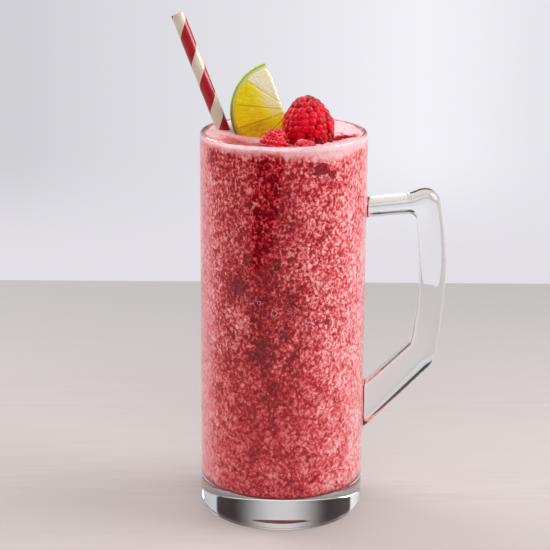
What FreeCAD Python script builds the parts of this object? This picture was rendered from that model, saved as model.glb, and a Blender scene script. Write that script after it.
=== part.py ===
"""A frozen fruit slush in its straight glass mug, with a paper straw, a lime wedge and berries.

Millimetres, +Z up. The origin is the centre of the mug's base, the handle points along +X, and the
side that faces a guest is -Y. Every size is a cell of the sheet "sizes", and the pieces are bound to it.
"""
import FreeCAD, Part
import math
import os
import Sketcher
from FreeCAD import Placement, Rotation, Vector

doc = FreeCAD.newDocument("slush")
Z_AXIS = Vector(0, 0, 1)
START, END, MIDDLE = 1, 2, 3

# ---------------------------------------------------------------- the driving sizes

SIZES = {
    # glass mug
    "glass_radius": 37.5,
    "glass_height": 177.8,
    "wall": 2.7,
    "floor_height": 14.5,
    "floor_corner": 5.5,
    "heel_radius": 6.0,
    "heel_height": 5.2,
    "bearing_radius": 25.0,
    "punt_depth": 0.5,
    # handle, a padded outline with a round back and a flat inside
    "handle_depth": 11.0,
    "handle_root": 1.3,
    "handle_blend": 1.5,
    "handle_drop": 30.5,
    "handle_span": 111.4,
    "handle_reach": 36.6,
    "bow_radius": 190.0,
    "bow_drop": 37.5,
    "grip_thickness": 11.8,
    "top_bar_thickness": 8.0,
    "top_bar_length": 21.0,
    "top_bar_slope": 6.7,
    "under_bar_slope": 5.1,
    "knee_slope": 22.0,
    "low_bar_thickness": 21.2,
    "low_back_slope": 45.5,
    "low_inside_slope": 44.3,
    "knee_round": 7.0,
    "elbow_round": 12.0,
    "crook_round": 3.4,
    "inner_elbow_round": 5.0,
    "back_round": 4.9,
    "inside_round": 1.6,
    # slush, with the clearances round what is pushed into it
    "fill_drop": 2.0,
    "melt_film": 0.1,
    "garnish_seat": 0.1,
    # straw, from its foot on the far wall to the rim that it leans on
    "straw_radius": 3.1,
    "straw_wall": 0.45,
    "straw_clearance": 0.15,
    "straw_bearing": 153.5,
    "straw_foot_bearing": 0.0,
    "straw_foot_height": 14.4,
    "straw_showing": 54.6,
    # lime wedge
    "lime_radius": 23.8,
    "lime_cut_offset": 1.2,
    "lime_opening": 40.0,
    "lime_lean": 21.8,
    "lime_turn": 12.0,
    "lime_rise": 7.75,
    "lime_reach": 23.28,
    "lime_back": 1.5,
    # berries, each a cone of drupelets
    "large_berry_radius": 11.8,
    "large_berry_height": 22.6,
    "large_berry_drupelet": 2.7,
    "left_berry_radius": 7.5,
    "left_berry_height": 15.5,
    "left_berry_drupelet": 2.2,
    "front_berry_radius": 6.4,
    "front_berry_height": 13.0,
    "front_berry_drupelet": 2.1,
}

sheet = doc.addObject("Spreadsheet::Sheet", "sizes")
for row, (alias, value) in enumerate(SIZES.items(), start=1):
    sheet.set(f"A{row}", alias)
    sheet.set(f"B{row}", str(value))
    sheet.setAlias(f"B{row}", alias)
doc.recompute()


def size(alias):
    """A driving size, read from the sheet."""
    return float(sheet.get(alias))


def bind(target, path, expression):
    """Ties a property or a named constraint to cells, each written as @alias."""
    target.setExpression(path, expression.replace("@", "sizes."))


# ---------------------------------------------------------------- sketching


def new_sketch(body, name, role):
    """A sketch on one of the body's own origin planes."""
    sketch = body.newObject("Sketcher::SketchObject", name)
    plane = next(item for item in body.Origin.OriginFeatures if item.Role == role)
    sketch.AttachmentSupport = [(plane, "")]
    sketch.MapMode = "FlatFace"
    return sketch


class Outline:
    """A closed chain of named lines and arcs in one sketch, with its constraints."""

    def __init__(self, sketch):
        self.sketch = sketch
        self.edges = {}
        self.ends = {}

    def line(self, name, start, end):
        points = Vector(*start, 0), Vector(*end, 0)
        self.edges[name] = self.sketch.addGeometry(Part.LineSegment(*points), False)
        self.ends[name] = (START, END)

    def arc(self, name, centre, radius, first, last):
        """An arc from the angle first to the angle last, drawn either way round."""
        low, high = (first, last) if last > first else (last, first)
        circle = Part.Circle(Vector(*centre, 0), Z_AXIS, radius)
        curve = Part.ArcOfCircle(circle, math.radians(low), math.radians(high))
        self.edges[name] = self.sketch.addGeometry(curve, False)
        self.ends[name] = (START, END) if last > first else (END, START)

    def close(self, smooth):
        """Joins each edge to the next one, tangent where the pair is in smooth."""
        names = list(self.edges)
        for name, following in zip(names, names[1:] + names[:1]):
            kind = "Tangent" if (name, following) in smooth else "Coincident"
            ends = (self.edges[name], self.ends[name][1], self.edges[following], self.ends[following][0])
            self.sketch.addConstraint(Sketcher.Constraint(kind, *ends))

    def rule(self, kind, *names):
        edges = (self.edges[name] for name in names)
        self.sketch.addConstraint(Sketcher.Constraint(kind, *edges))

    def on_axis(self, name, end, axis):
        """Puts one end of an edge on the sketch's horizontal (-1) or vertical (-2) axis."""
        point = (self.edges[name], end, axis)
        self.sketch.addConstraint(Sketcher.Constraint("PointOnObject", *point))

    def dimension(self, kind, where, value, expression):
        index = self.sketch.addConstraint(Sketcher.Constraint(kind, *where, value))
        label = f"size_{index}"
        self.sketch.renameConstraint(index, label)
        bind(self.sketch, f"Constraints.{label}", expression)

    def place(self, kind, name, end, value, expression):
        """The distance, along X or Y, of one end of an edge from the sketch's origin."""
        self.dimension(kind, (-1, 1, self.edges[name], end), value, expression)


def check_closed(sketch):
    """Stops the build where a sketch's constraints have opened its outline."""
    doc.recompute()
    if not sketch.Shape.Wires or not sketch.Shape.Wires[0].isClosed():
        raise RuntimeError(f"{sketch.Name} is not a closed outline")


# ---------------------------------------------------------------- the glass mug


def handle_outline(sketch):
    """The handle from the side: a slim top bar, a bowed grip and a thick slanting lower bar."""
    root = size("glass_radius") - size("handle_root")
    top = size("glass_height") - size("handle_drop")
    low = top - size("handle_span")
    bow = size("bow_radius")
    inside = bow - size("grip_thickness")
    middle = (size("glass_radius") + size("handle_reach") - bow, top - size("bow_drop"))

    def run(start, slope, length):
        angle = math.radians(slope)
        return start[0] + length * math.cos(angle), start[1] + length * math.sin(angle)

    def meet(start, slope, radius):
        """Where a line going outwards meets the bow of that radius."""
        angle = math.radians(slope)
        aside = (start[0] - middle[0], start[1] - middle[1])
        along = aside[0] * math.cos(angle) + aside[1] * math.sin(angle)
        spare = along ** 2 - (aside[0] ** 2 + aside[1] ** 2 - radius ** 2)
        return run(start, slope, -along + math.sqrt(spare))

    def bearing(point):
        return math.degrees(math.atan2(point[1] - middle[1], point[0] - middle[0]))

    top_out = (root, top)
    top_in = (root, top - size("top_bar_thickness"))
    low_out = (root, low)
    low_in = (root, low + size("low_bar_thickness"))
    rise = run(top_out, size("top_bar_slope"), size("top_bar_length"))
    knee = meet(rise, size("knee_slope"), bow)
    elbow = meet(low_out, size("low_back_slope"), bow)
    inner_elbow = meet(low_in, size("low_inside_slope"), inside)
    crook = meet(top_in, size("under_bar_slope"), inside)

    outline = Outline(sketch)
    outline.line("top", top_out, rise)
    outline.line("rise", rise, knee)
    outline.arc("back", middle, bow, bearing(knee), bearing(elbow))
    outline.line("low_back", elbow, low_out)
    outline.line("low_root", low_out, low_in)
    outline.line("low_inside", low_in, inner_elbow)
    outline.arc("inside", middle, inside, bearing(inner_elbow), bearing(crook))
    outline.line("under", crook, top_in)
    outline.line("top_root", top_in, top_out)
    outline.close(smooth=())
    outline.rule("Vertical", "low_root")
    outline.rule("Vertical", "top_root")
    middles = (outline.edges["back"], MIDDLE, outline.edges["inside"], MIDDLE)
    sketch.addConstraint(Sketcher.Constraint("Coincident", *middles))

    root_x = "@glass_radius - @handle_root"
    outline.place("DistanceX", "top", START, root, root_x)
    outline.place("DistanceX", "low_root", START, root, root_x)
    outline.place("DistanceY", "top", START, top, "@glass_height - @handle_drop")
    outline.place("DistanceY", "low_root", START, low, "@glass_height - @handle_drop - @handle_span")
    outline.place("DistanceY", "back", MIDDLE, middle[1], "@glass_height - @handle_drop - @bow_drop")
    sunk = (outline.edges["back"], MIDDLE, -1, 1)
    outline.dimension("DistanceX", sunk, -middle[0], "@bow_radius - @glass_radius - @handle_reach")
    for name, value, cell in (
        ("top_root", size("top_bar_thickness"), "@top_bar_thickness"),
        ("low_root", size("low_bar_thickness"), "@low_bar_thickness"),
        ("top", size("top_bar_length"), "@top_bar_length"),
    ):
        outline.dimension("Distance", (outline.edges[name],), value, cell)
    for name, value, cell in (
        ("back", bow, "@bow_radius"),
        ("inside", inside, "@bow_radius - @grip_thickness"),
    ):
        outline.dimension("Radius", (outline.edges[name],), value, cell)
    for name, end, cell in (
        ("top", START, "top_bar_slope"),
        ("rise", START, "knee_slope"),
        ("low_back", END, "low_back_slope"),
        ("low_inside", START, "low_inside_slope"),
        ("under", END, "under_bar_slope"),
    ):
        slope = math.radians(size(cell))
        outline.dimension("Angle", (-1, 1, outline.edges[name], end), slope, "@" + cell)
    check_closed(sketch)


def glass_outline(sketch):
    """Half of the mug's section: thick floor, rounded heel, punt under the base and round rim."""
    radius, wall = size("glass_radius"), size("wall")
    inner = radius - wall
    rim = wall / 2
    top = size("glass_height") - rim
    floor, corner = size("floor_height"), size("floor_corner")
    heel, heel_z = size("heel_radius"), size("heel_height")
    base = radius - heel + math.sqrt(heel ** 2 - heel_z ** 2)
    bearing, punt = size("bearing_radius"), size("punt_depth")
    dish = (bearing ** 2 + punt ** 2) / (2 * punt)

    outline = Outline(sketch)
    outline.line("floor", (0, floor), (inner - corner, floor))
    outline.arc("corner", (inner - corner, floor + corner), corner, -90, 0)
    outline.line("inner_wall", (inner, floor + corner), (inner, top))
    outline.arc("rim", (inner + rim, top), rim, 180, 0)
    outline.line("outer_wall", (radius, top), (radius, heel_z))
    outline.arc("heel", (radius - heel, heel_z), heel, 0, -math.degrees(math.asin(heel_z / heel)))
    outline.line("bearing", (base, 0), (bearing, 0))
    outline.arc("punt", (0, punt - dish), dish, math.degrees(math.acos(bearing / dish)), 90)
    outline.line("axis", (0, punt), (0, floor))
    outline.close(smooth=(
        ("floor", "corner"),
        ("corner", "inner_wall"),
        ("inner_wall", "rim"),
        ("rim", "outer_wall"),
        ("outer_wall", "heel"),
    ))
    outline.rule("Horizontal", "floor")
    outline.rule("Vertical", "inner_wall")
    outline.rule("Vertical", "outer_wall")
    outline.on_axis("bearing", START, -1)
    outline.on_axis("bearing", END, -1)
    outline.on_axis("axis", START, -2)
    outline.on_axis("axis", END, -2)
    outline.on_axis("punt", MIDDLE, -2)
    outline.place("DistanceX", "outer_wall", START, radius, "@glass_radius")
    outline.place("DistanceX", "inner_wall", START, inner, "@glass_radius - @wall")
    outline.place("DistanceY", "rim", MIDDLE, top, "@glass_height - @wall / 2")
    outline.place("DistanceY", "floor", START, floor, "@floor_height")
    outline.place("DistanceY", "heel", MIDDLE, heel_z, "@heel_height")
    outline.place("DistanceX", "bearing", END, bearing, "@bearing_radius")
    outline.place("DistanceY", "axis", START, punt, "@punt_depth")
    outline.dimension("Radius", (outline.edges["corner"],), corner, "@floor_corner")
    outline.dimension("Radius", (outline.edges["heel"],), heel, "@heel_radius")
    check_closed(sketch)


def fillet(body, name, chosen, cell):
    """Rounds the edges of the body's last feature that chosen(edge) picks."""
    base = body.Tip
    edges = [f"Edge{i}" for i, edge in enumerate(base.Shape.Edges, start=1) if chosen(edge)]
    feature = body.newObject("PartDesign::Fillet", name)
    feature.Base = (base, edges)
    bind(feature, "Radius", "@" + cell)
    doc.recompute()
    return feature


def corner_edge(x, z):
    """Picks the edge across the handle that passes near one corner of its outline."""

    def chosen(edge):
        middle = edge.CenterOfMass
        across = abs(edge.BoundBox.YLength - size("handle_depth")) < 0.01
        return across and math.hypot(middle.x - x, middle.z - z) < 0.5

    return chosen


def top_bar_middle(x):
    """The height of the top bar's middle line at x."""
    root = size("glass_radius") - size("handle_root")
    top = size("glass_height") - size("handle_drop")
    slope = math.tan(math.radians((size("top_bar_slope") + size("under_bar_slope")) / 2))
    return top - size("top_bar_thickness") / 2 + slope * (x - root)


def low_bar_middle(x):
    """The height of the lower bar's middle line at x."""
    root = size("glass_radius") - size("handle_root")
    low = size("glass_height") - size("handle_drop") - size("handle_span")
    slope = math.tan(math.radians((size("low_back_slope") + size("low_inside_slope")) / 2))
    return low + size("low_bar_thickness") / 2 + slope * (x - root)


def is_back(edge, middle, between):
    """Whether an edge of the handle's side belongs to its outward half."""
    point = edge.valueAt((edge.FirstParameter + edge.LastParameter) / 2)
    drop = point.z - middle[1]
    outside = math.hypot(point.x - middle[0], drop) > between
    over = drop > 0 and point.z > top_bar_middle(point.x)
    under = drop < 0 and point.z < low_bar_middle(point.x)
    return outside or over or under


def round_wall(edge):
    """Whether an edge lies in the mug's outer wall where the handle meets it."""
    box = edge.BoundBox
    ends = [edge.valueAt(edge.FirstParameter), edge.valueAt(edge.LastParameter)]
    in_wall = all(abs(math.hypot(end.x, end.y) - size("glass_radius")) < 0.001 for end in ends)
    return in_wall and box.XMin > 0 and box.YLength > 0.001


def make_mug():
    """The pressed glass: the handle, then the turned body, then the blend where they meet."""
    body = doc.addObject("PartDesign::Body", "mug")
    sketch = new_sketch(body, "handle_side", "XZ_Plane")
    handle_outline(sketch)
    pad = body.newObject("PartDesign::Pad", "handle")
    pad.Profile = sketch
    pad.Midplane = True
    bind(pad, "Length", "@handle_depth")
    doc.recompute()

    corners = {name: sketch.getPoint(index, end) for name, index, end in (
        ("rise", 0, END), ("knee", 1, END), ("elbow", 3, START), ("inner_elbow", 5, END), ("crook", 7, START),
    )}
    for name, cell in (
        ("rise", "knee_round"),
        ("knee", "knee_round"),
        ("elbow", "elbow_round"),
        ("inner_elbow", "inner_elbow_round"),
        ("crook", "crook_round"),
    ):
        fillet(body, name + "_round", corner_edge(corners[name].x, corners[name].y), cell)

    half = size("handle_depth") / 2
    middle = (sketch.getPoint(2, MIDDLE).x, sketch.getPoint(2, MIDDLE).y)
    between = size("bow_radius") - size("grip_thickness") / 2

    def along_side(edge):
        box = edge.BoundBox
        flat = box.YLength < 0.001 and abs(abs(box.YMin) - half) < 0.01
        return flat and box.XMax > size("glass_radius")

    def on_back(edge):
        return along_side(edge) and is_back(edge, middle, between)

    fillet(body, "handle_back", on_back, "back_round")
    fillet(body, "handle_inside", along_side, "inside_round")

    section = new_sketch(body, "glass_section", "XZ_Plane")
    glass_outline(section)
    turned = body.newObject("PartDesign::Revolution", "glass")
    turned.Profile = section
    turned.ReferenceAxis = (section, ["V_Axis"])
    turned.Angle = 360
    doc.recompute()
    fillet(body, "handle_to_wall", round_wall, "handle_blend")
    body.Label = "mug"
    return body


mug = make_mug()


# ---------------------------------------------------------------- the paper straw

LEAN_PASSES = 4


def at_bearing(bearing, reach, height):
    """The point at that distance from the glass's axis, on that bearing from +X."""
    angle = math.radians(bearing)
    return Vector(reach * math.cos(angle), reach * math.sin(angle), height)


def straw_line():
    """The straw's foot, and the point of its axis beside the round rim that it leans on.

    The lean and the reach depend on each other, and settle in a few passes.
    """
    rim = size("wall") / 2
    rim_middle = size("glass_radius") - rim
    apart = rim + size("straw_radius") + size("straw_clearance")
    foot_height = size("floor_height") + size("straw_foot_height")
    stretch = 1.0
    for _ in range(LEAN_PASSES):
        reach = rim_middle - apart * stretch
        foot = at_bearing(size("straw_foot_bearing"), reach, foot_height)
        head = at_bearing(size("straw_bearing"), reach, size("glass_height") - rim)
        stretch = (head - foot).Length / (head.z - foot.z)
    return foot, head


def pose_along(start, end):
    """A placement at start with its Z axis towards end."""
    return Placement(start, Rotation(Z_AXIS, end - start))


def make_tube(name, outer, inner, length, placement):
    """A tube in a body of its own; outer and inner are expressions of its radii."""
    body = doc.addObject("PartDesign::Body", name)
    sketch = new_sketch(body, name + "_ring", "XY_Plane")
    for label, expression, value in (("outer", outer, 3), ("inner", inner, 2)):
        circle = sketch.addGeometry(Part.Circle(Vector(), Z_AXIS, value), False)
        sketch.addConstraint(Sketcher.Constraint("Coincident", circle, MIDDLE, -1, 1))
        index = sketch.addConstraint(Sketcher.Constraint("Radius", circle, value))
        sketch.renameConstraint(index, label)
        bind(sketch, "Constraints." + label, expression)
    pad = body.newObject("PartDesign::Pad", name + "_length")
    pad.Profile = sketch
    pad.Length = length
    body.Placement = placement
    body.Label = name
    doc.recompute()
    return body


straw_foot, straw_head = straw_line()
straw_length = (straw_head - straw_foot).Length + size("straw_showing")
straw_pose = pose_along(straw_foot, straw_head)
straw = make_tube("straw", "@straw_radius", "@straw_radius - @straw_wall", straw_length, straw_pose)


# ---------------------------------------------------------------- the lime wedge

# A larger lime moves away from the straw, and by this share of that towards the back.
LIME_GIVE = 0.4


def wedge_outline(sketch, grow):
    """The wedge's cut face: a round of lime cut off a little past its middle."""
    radius, offset = size("lime_radius") + grow, size("lime_cut_offset")
    half = math.sqrt(radius ** 2 - offset ** 2)
    lift = math.degrees(math.asin(half / radius))
    outline = Outline(sketch)
    outline.line("cut", (0, -half), (0, half))
    outline.arc("rind", (-offset, 0), radius, lift, 360 - lift)
    outline.close(smooth=())
    outline.on_axis("cut", START, -2)
    outline.on_axis("cut", END, -2)
    outline.on_axis("rind", MIDDLE, -1)
    middle = (outline.edges["rind"], MIDDLE, -1, 1)
    outline.dimension("DistanceX", middle, offset, "@lime_cut_offset")
    outline.dimension("Radius", (outline.edges["rind"],), radius, f"@lime_radius + {grow}")
    check_closed(sketch)


def wedge_middle():
    """The middle of the cut edge, so far from the straw that the rind stays clear of it."""
    away = size("lime_radius") * math.cos(math.radians(size("lime_turn"))) - size("lime_reach")
    back = size("lime_back") + LIME_GIVE * away
    return Vector(away, back, size("glass_height") + size("lime_rise"))


def make_wedge(name, grow=0.0):
    """The wedge, turned about its cut edge; grow is the clearance of the seat that it leaves."""
    body = doc.addObject("PartDesign::Body", name)
    sketch = new_sketch(body, name + "_face", "XZ_Plane")
    wedge_outline(sketch, grow)
    turned = body.newObject("PartDesign::Revolution", name + "_turned")
    turned.Profile = sketch
    turned.ReferenceAxis = (sketch, ["V_Axis"])
    turned.Reversed = True
    bind(turned, "Angle", "@lime_opening")
    lean = Rotation(Vector(0, 1, 0), -size("lime_lean"))
    turn = Rotation(Z_AXIS, -size("lime_turn"))
    body.Placement = Placement(wedge_middle(), turn.multiply(lean))
    body.Label = name
    doc.recompute()
    return body


lime = make_wedge("lime_wedge")


# ---------------------------------------------------------------- the berries

# The outline: where it is widest, how far it draws in at the stem, and how it closes to its point.
WIDEST_LEVEL = 0.42
STEM_DRAW = 0.12
SHOULDER = 1.7
POINT = 0.67
# Steps between drupelets, in drupelet radii, and the slope past which rings get no closer.
RING_SPACING = 1.3
BALL_SPACING = 1.5
TIP_ROOM = 1.25
STEEPEST = 2
# The heart inside the drupelets: its middle and half height as shares, and where its base is cut.
HEART_MIDDLE = 0.4
HEART_HALF = 0.52
HEART_CUT = -45


def berry_profile(radius, height, drupelet, level):
    """How far a drupelet's centre is from the berry's axis at a level above its stem end."""
    widest = WIDEST_LEVEL * height
    reach = radius - drupelet
    if level < widest:
        return reach * (1 - STEM_DRAW * ((widest - level) / widest) ** 2)
    share = min((level - widest) / (height - drupelet - widest), 1)
    return reach * (1 - share ** SHOULDER) ** POINT


def berry_rings(radius, height, drupelet):
    """The level, radius and count of each ring of drupelets, from the stem end to the tip."""
    spacing = RING_SPACING * drupelet
    rings = []
    level = drupelet
    while level < height - TIP_ROOM * drupelet:
        across = berry_profile(radius, height, drupelet, level)
        count = round(2 * math.pi * across / (BALL_SPACING * drupelet))
        rings.append((level, across, max(3, count)))
        ahead = level + spacing / 2
        slope = (berry_profile(radius, height, drupelet, ahead) - across) / (spacing / 2)
        level += spacing / math.hypot(1, min(abs(slope), STEEPEST))
    rings.append((height - drupelet, 0.0, 1))
    return rings


def add_ball(body, name, radius, centre):
    """One drupelet of a body."""
    ball = body.newObject("PartDesign::AdditiveSphere", name)
    ball.Radius = radius
    ball.Placement = Placement(centre, Rotation())
    return ball


def make_berry(name, placement):
    """A cone of drupelets: a plain heart, and rings of balls turned about its axis."""
    radius, height = size(name + "_radius"), size(name + "_height")
    drupelet = size(name + "_drupelet")
    body = doc.addObject("PartDesign::Body", name)
    heart = body.newObject("PartDesign::AdditiveEllipsoid", name + "_heart")
    heart.Radius1 = HEART_HALF * height
    heart.Radius2 = radius - drupelet
    heart.Radius3 = radius - drupelet
    heart.Angle1 = HEART_CUT
    heart.Placement = Placement(Vector(0, 0, HEART_MIDDLE * height), Rotation())
    for number, (level, across, count) in enumerate(berry_rings(radius, height, drupelet)):
        start = math.pi / count * (number % 2)
        centre = Vector(across * math.cos(start), across * math.sin(start), level)
        ball = add_ball(body, f"{name}_ring_{number}", drupelet, centre)
        doc.recompute()
        if count == 1:
            continue
        turned = body.newObject("PartDesign::PolarPattern", f"{name}_turned_{number}")
        turned.Originals = [ball]
        turned.Axis = (next(i for i in body.Origin.OriginFeatures if i.Role == "Z_Axis"), [""])
        turned.Angle = 360
        turned.Occurrences = count
        body.Tip = turned
        doc.recompute()
    body.Placement = placement
    body.Label = name
    return body


# Each berry's place as shares of the inner radius, its stem's height from the rim, and its lean.
BERRIES = {
    "large_berry": ((0.329, -0.265), -4.9, (6.0, -5.0)),
    "left_berry": ((-0.146, -0.615), -10.4, (-8.0, -12.0)),
    "front_berry": ((0.296, -0.735), -11.3, (10.0, 4.0)),
}


def berry_pose(name):
    """Stands a berry at a share of the inner radius from the axis, leaning to -X and then to -Y."""
    (x, y), rise, (left, forward) = BERRIES[name]
    inner = size("glass_radius") - size("wall")
    lean = Rotation(Vector(0, 1, 0), -left).multiply(Rotation(Vector(1, 0, 0), forward))
    return Placement(Vector(x * inner, y * inner, size("glass_height") + rise), lean)


berries = [make_berry(name, berry_pose(name)) for name in BERRIES]
doc.recompute()


# ---------------------------------------------------------------- the slush

# Swells and hollows that the spoon left: place as shares of the inner radius, height, and spread.
SWELLS = (
    ((0.50, 0.55), 1.5, 0.42),
    ((-0.30, -0.28), 0.9, 0.26),
    ((-0.70, 0.30), 0.5, 0.35),
    ((0.72, -0.22), -1.5, 0.20),
    ((0.88, 0.16), -1.3, 0.18),
    ((0.10, -0.92), -0.4, 0.30),
)
# The ripple over them: its height, and its waves across, along and aslant.
RIPPLE = 0.15
RIPPLE_WAVES = (9, 8, 5)
# The surface is a square grid of points that reaches past the glass's inside.
GRID = 17
OVERHANG = 1.15
BLOCK_HEADROOM = 6.0


def surface_height(x, y, inner):
    """The slush's surface over a point of the glass, with its swells and a fine ripple."""
    height = size("glass_height") - size("fill_drop")
    for (share_x, share_y), swell, spread in SWELLS:
        away = math.hypot(x / inner - share_x, y / inner - share_y) / spread
        height += swell * math.exp(-away ** 2)
    across, along, aslant = RIPPLE_WAVES
    ripple = math.sin(across * x / inner + 1) * math.cos(along * y / inner)
    return height + RIPPLE * (ripple + math.sin(aslant * (x + y) / inner))


def air_above():
    """A solid over the slush's surface, which trims the filling to it."""
    inner = size("glass_radius") - size("wall")
    steps = [inner * OVERHANG * (2 * i / (GRID - 1) - 1) for i in range(GRID)]
    surface = Part.BSplineSurface()
    surface.interpolate([[Vector(x, y, surface_height(x, y, inner)) for y in steps] for x in steps])
    air = doc.addObject("Part::Feature", "air_above")
    air.Shape = surface.toShape().extrude(Vector(0, 0, 2 * BLOCK_HEADROOM))
    return air


def filling_outline(sketch):
    """Half of the section of the glass's inside, less the film of melt along its wall."""
    film = size("melt_film")
    inner = size("glass_radius") - size("wall") - film
    floor, corner = size("floor_height") + film, size("floor_corner") - film
    top = size("glass_height") + BLOCK_HEADROOM
    outline = Outline(sketch)
    outline.line("floor", (0, floor), (inner - corner, floor))
    outline.arc("corner", (inner - corner, floor + corner), corner, -90, 0)
    outline.line("side", (inner, floor + corner), (inner, top))
    outline.line("top", (inner, top), (0, top))
    outline.line("axis", (0, top), (0, floor))
    outline.close(smooth=(("floor", "corner"), ("corner", "side")))
    outline.rule("Horizontal", "floor")
    outline.rule("Horizontal", "top")
    outline.rule("Vertical", "side")
    outline.on_axis("axis", START, -2)
    outline.on_axis("axis", END, -2)
    outline.place("DistanceX", "side", END, inner, "@glass_radius - @wall - @melt_film")
    outline.place("DistanceY", "side", END, top, f"@glass_height + {BLOCK_HEADROOM}")
    outline.place("DistanceY", "floor", START, floor, "@floor_height + @melt_film")
    outline.dimension("Radius", (outline.edges["corner"],), corner, "@floor_corner - @melt_film")
    check_closed(sketch)


def make_filling():
    """The filling before it is trimmed, up to a flat top over the rim."""
    body = doc.addObject("PartDesign::Body", "filling")
    sketch = new_sketch(body, "filling_section", "XZ_Plane")
    filling_outline(sketch)
    turned = body.newObject("PartDesign::Revolution", "filling_turned")
    turned.Profile = sketch
    turned.ReferenceAxis = (sketch, ["V_Axis"])
    turned.Angle = 360
    doc.recompute()
    return body


def berry_seat(name, placement):
    """The plain round pocket that a berry's drupelets press into the slush."""
    seat = doc.addObject("Part::Cylinder", name + "_seat")
    bind(seat, "Radius", f"@{name}_radius + @garnish_seat")
    bind(seat, "Height", f"@{name}_height + @garnish_seat")
    drop = Vector(0, 0, -size("garnish_seat"))
    seat.Placement = placement.multiply(Placement(drop, Rotation()))
    return seat


def make_slush():
    """The filling, trimmed to its surface and cut round the straw, the wedge and the berries."""
    seat = size("garnish_seat")
    outer = "@straw_radius + @garnish_seat"
    inner = "@straw_radius - @straw_wall - @garnish_seat"
    pose = straw_pose.multiply(Placement(Vector(0, 0, -seat), Rotation()))
    hollows = [air_above(), make_tube("straw_seat", outer, inner, straw_length, pose)]
    hollows.append(make_wedge("lime_seat", seat))
    hollows += [berry_seat(name, berry_pose(name)) for name in BERRIES]
    doc.recompute()
    cutters = doc.addObject("Part::MultiFuse", "hollows")
    cutters.Shapes = hollows
    slush = doc.addObject("Part::Cut", "slush")
    slush.Base = make_filling()
    slush.Tool = cutters
    slush.Label = "slush"
    doc.recompute()
    return slush


slush = make_slush()


# ---------------------------------------------------------------- check and write


pieces = [mug, slush, straw, lime] + berries
for item in doc.Objects:
    if {"Invalid", "Error"} & set(item.State):
        raise RuntimeError(f"{item.Name} failed: {item.State}")
for piece in pieces:
    if piece.Shape.isNull() or not piece.Shape.isValid():
        raise RuntimeError(f"{piece.Label} has no valid shape")

os.makedirs("parts", exist_ok=True)
for piece in pieces:
    piece.Shape.exportStep(f"parts/{piece.Label}.step")
    print(piece.Label, round(piece.Shape.Volume), "mm3,", len(piece.Shape.Solids), "solid")
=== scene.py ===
"""A frozen fruit slush in its glass mug, with a paper straw, a lime wedge and three red berries."""
import math
import random

import bmesh
import bpy
from mathutils import Matrix, Vector, noise


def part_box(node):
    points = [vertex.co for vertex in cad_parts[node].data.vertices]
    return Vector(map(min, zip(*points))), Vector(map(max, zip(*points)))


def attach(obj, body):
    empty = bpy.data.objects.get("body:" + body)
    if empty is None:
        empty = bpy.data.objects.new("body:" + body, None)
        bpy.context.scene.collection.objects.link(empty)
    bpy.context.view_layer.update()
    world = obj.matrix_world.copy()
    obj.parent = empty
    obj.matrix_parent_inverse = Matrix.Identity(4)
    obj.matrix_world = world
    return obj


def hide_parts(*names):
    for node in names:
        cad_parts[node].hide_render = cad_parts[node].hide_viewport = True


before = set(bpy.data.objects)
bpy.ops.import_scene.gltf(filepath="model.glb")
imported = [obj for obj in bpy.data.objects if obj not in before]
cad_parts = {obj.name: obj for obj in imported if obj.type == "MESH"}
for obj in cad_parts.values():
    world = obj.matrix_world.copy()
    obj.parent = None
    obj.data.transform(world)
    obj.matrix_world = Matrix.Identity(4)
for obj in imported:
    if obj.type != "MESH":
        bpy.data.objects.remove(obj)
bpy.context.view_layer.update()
MM = 0.001

# ---------------------------------------------------------------- camera
# The viewpoint is a long lens at arm's length, a little above the rim and turned by a hair.

CAMERA_AT = Vector((-3.55, -769.4, 330.1)) * MM
CAMERA_TARGET = Vector((-3.55, 0.0, 110.9)) * MM
CAMERA_LENS = 114.87
CAMERA_ROLL = 0.4

camera = bpy.data.objects.new("camera", bpy.data.cameras.new("camera"))
camera.data.lens = CAMERA_LENS
camera.location = CAMERA_AT
aim = (CAMERA_TARGET - CAMERA_AT).to_track_quat("-Z", "Y").to_matrix()
camera.rotation_euler = (aim @ Matrix.Rotation(math.radians(CAMERA_ROLL), 3, "Z")).to_euler()
bpy.context.scene.collection.objects.link(camera)
bpy.context.scene.camera = camera
bpy.context.scene.view_settings.view_transform = "Standard"

# ---------------------------------------------------------------- studio
# A pale lime-washed table top, whose far edge stands before a pale wall. Three soft boxes light the
# drink from both sides and from over its front, and dark stretches of the room draw the glass.

TABLE_SIZE = (3000.0, 1700.0, 30.0)
TABLE_BACK = 374.0
# The wall's shades from left to right, a painted pool of light as from a lamp behind the drink grazing it,
# how far they are squeezed together, and its painted shade low down.
WALL_PAINTED_LIGHT = ((-0.144, 208), (-0.098, 217), (0.0, 229), (0.082, 243), (0.115, 238), (0.144, 231))
WALL_SQUEEZE = 2.5
WALL_LOW_PAINTED_LIGHT = 226
ROOM_LIGHT = 208
# What glass mirrors above the table is dark, and over that come the wall's pale middle, a pane at
# the far right and at the far left, the ceiling, and the dark half behind the lens. Each has the
# two places of a direction between which it fades in, and its colour.
TABLE_LINE = (0.02, 0.08)
DARK_SIDES = (30, 26, 28)
PALE_MIDDLE = (0.42, 0.03, (204, 202, 204))
RIGHT_PANE = (0.62, 0.66, (206, 205, 213))
LEFT_PANE = (-0.70, -0.74, (255, 255, 255))
CEILING = (0.5, 0.6, (252, 250, 246))
BEHIND_LENS = (-0.1, -0.5, (48, 46, 48))


def paint(red, green, blue):
    """A colour as the eye sees it, 0 to 255, as the linear value that a shader takes."""
    shares = [channel / 255 for channel in (red, green, blue)]
    linear = [share / 12.92 if share < 0.04 else ((share + 0.055) / 1.055) ** 2.4 for share in shares]
    return (*linear, 1.0)


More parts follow.
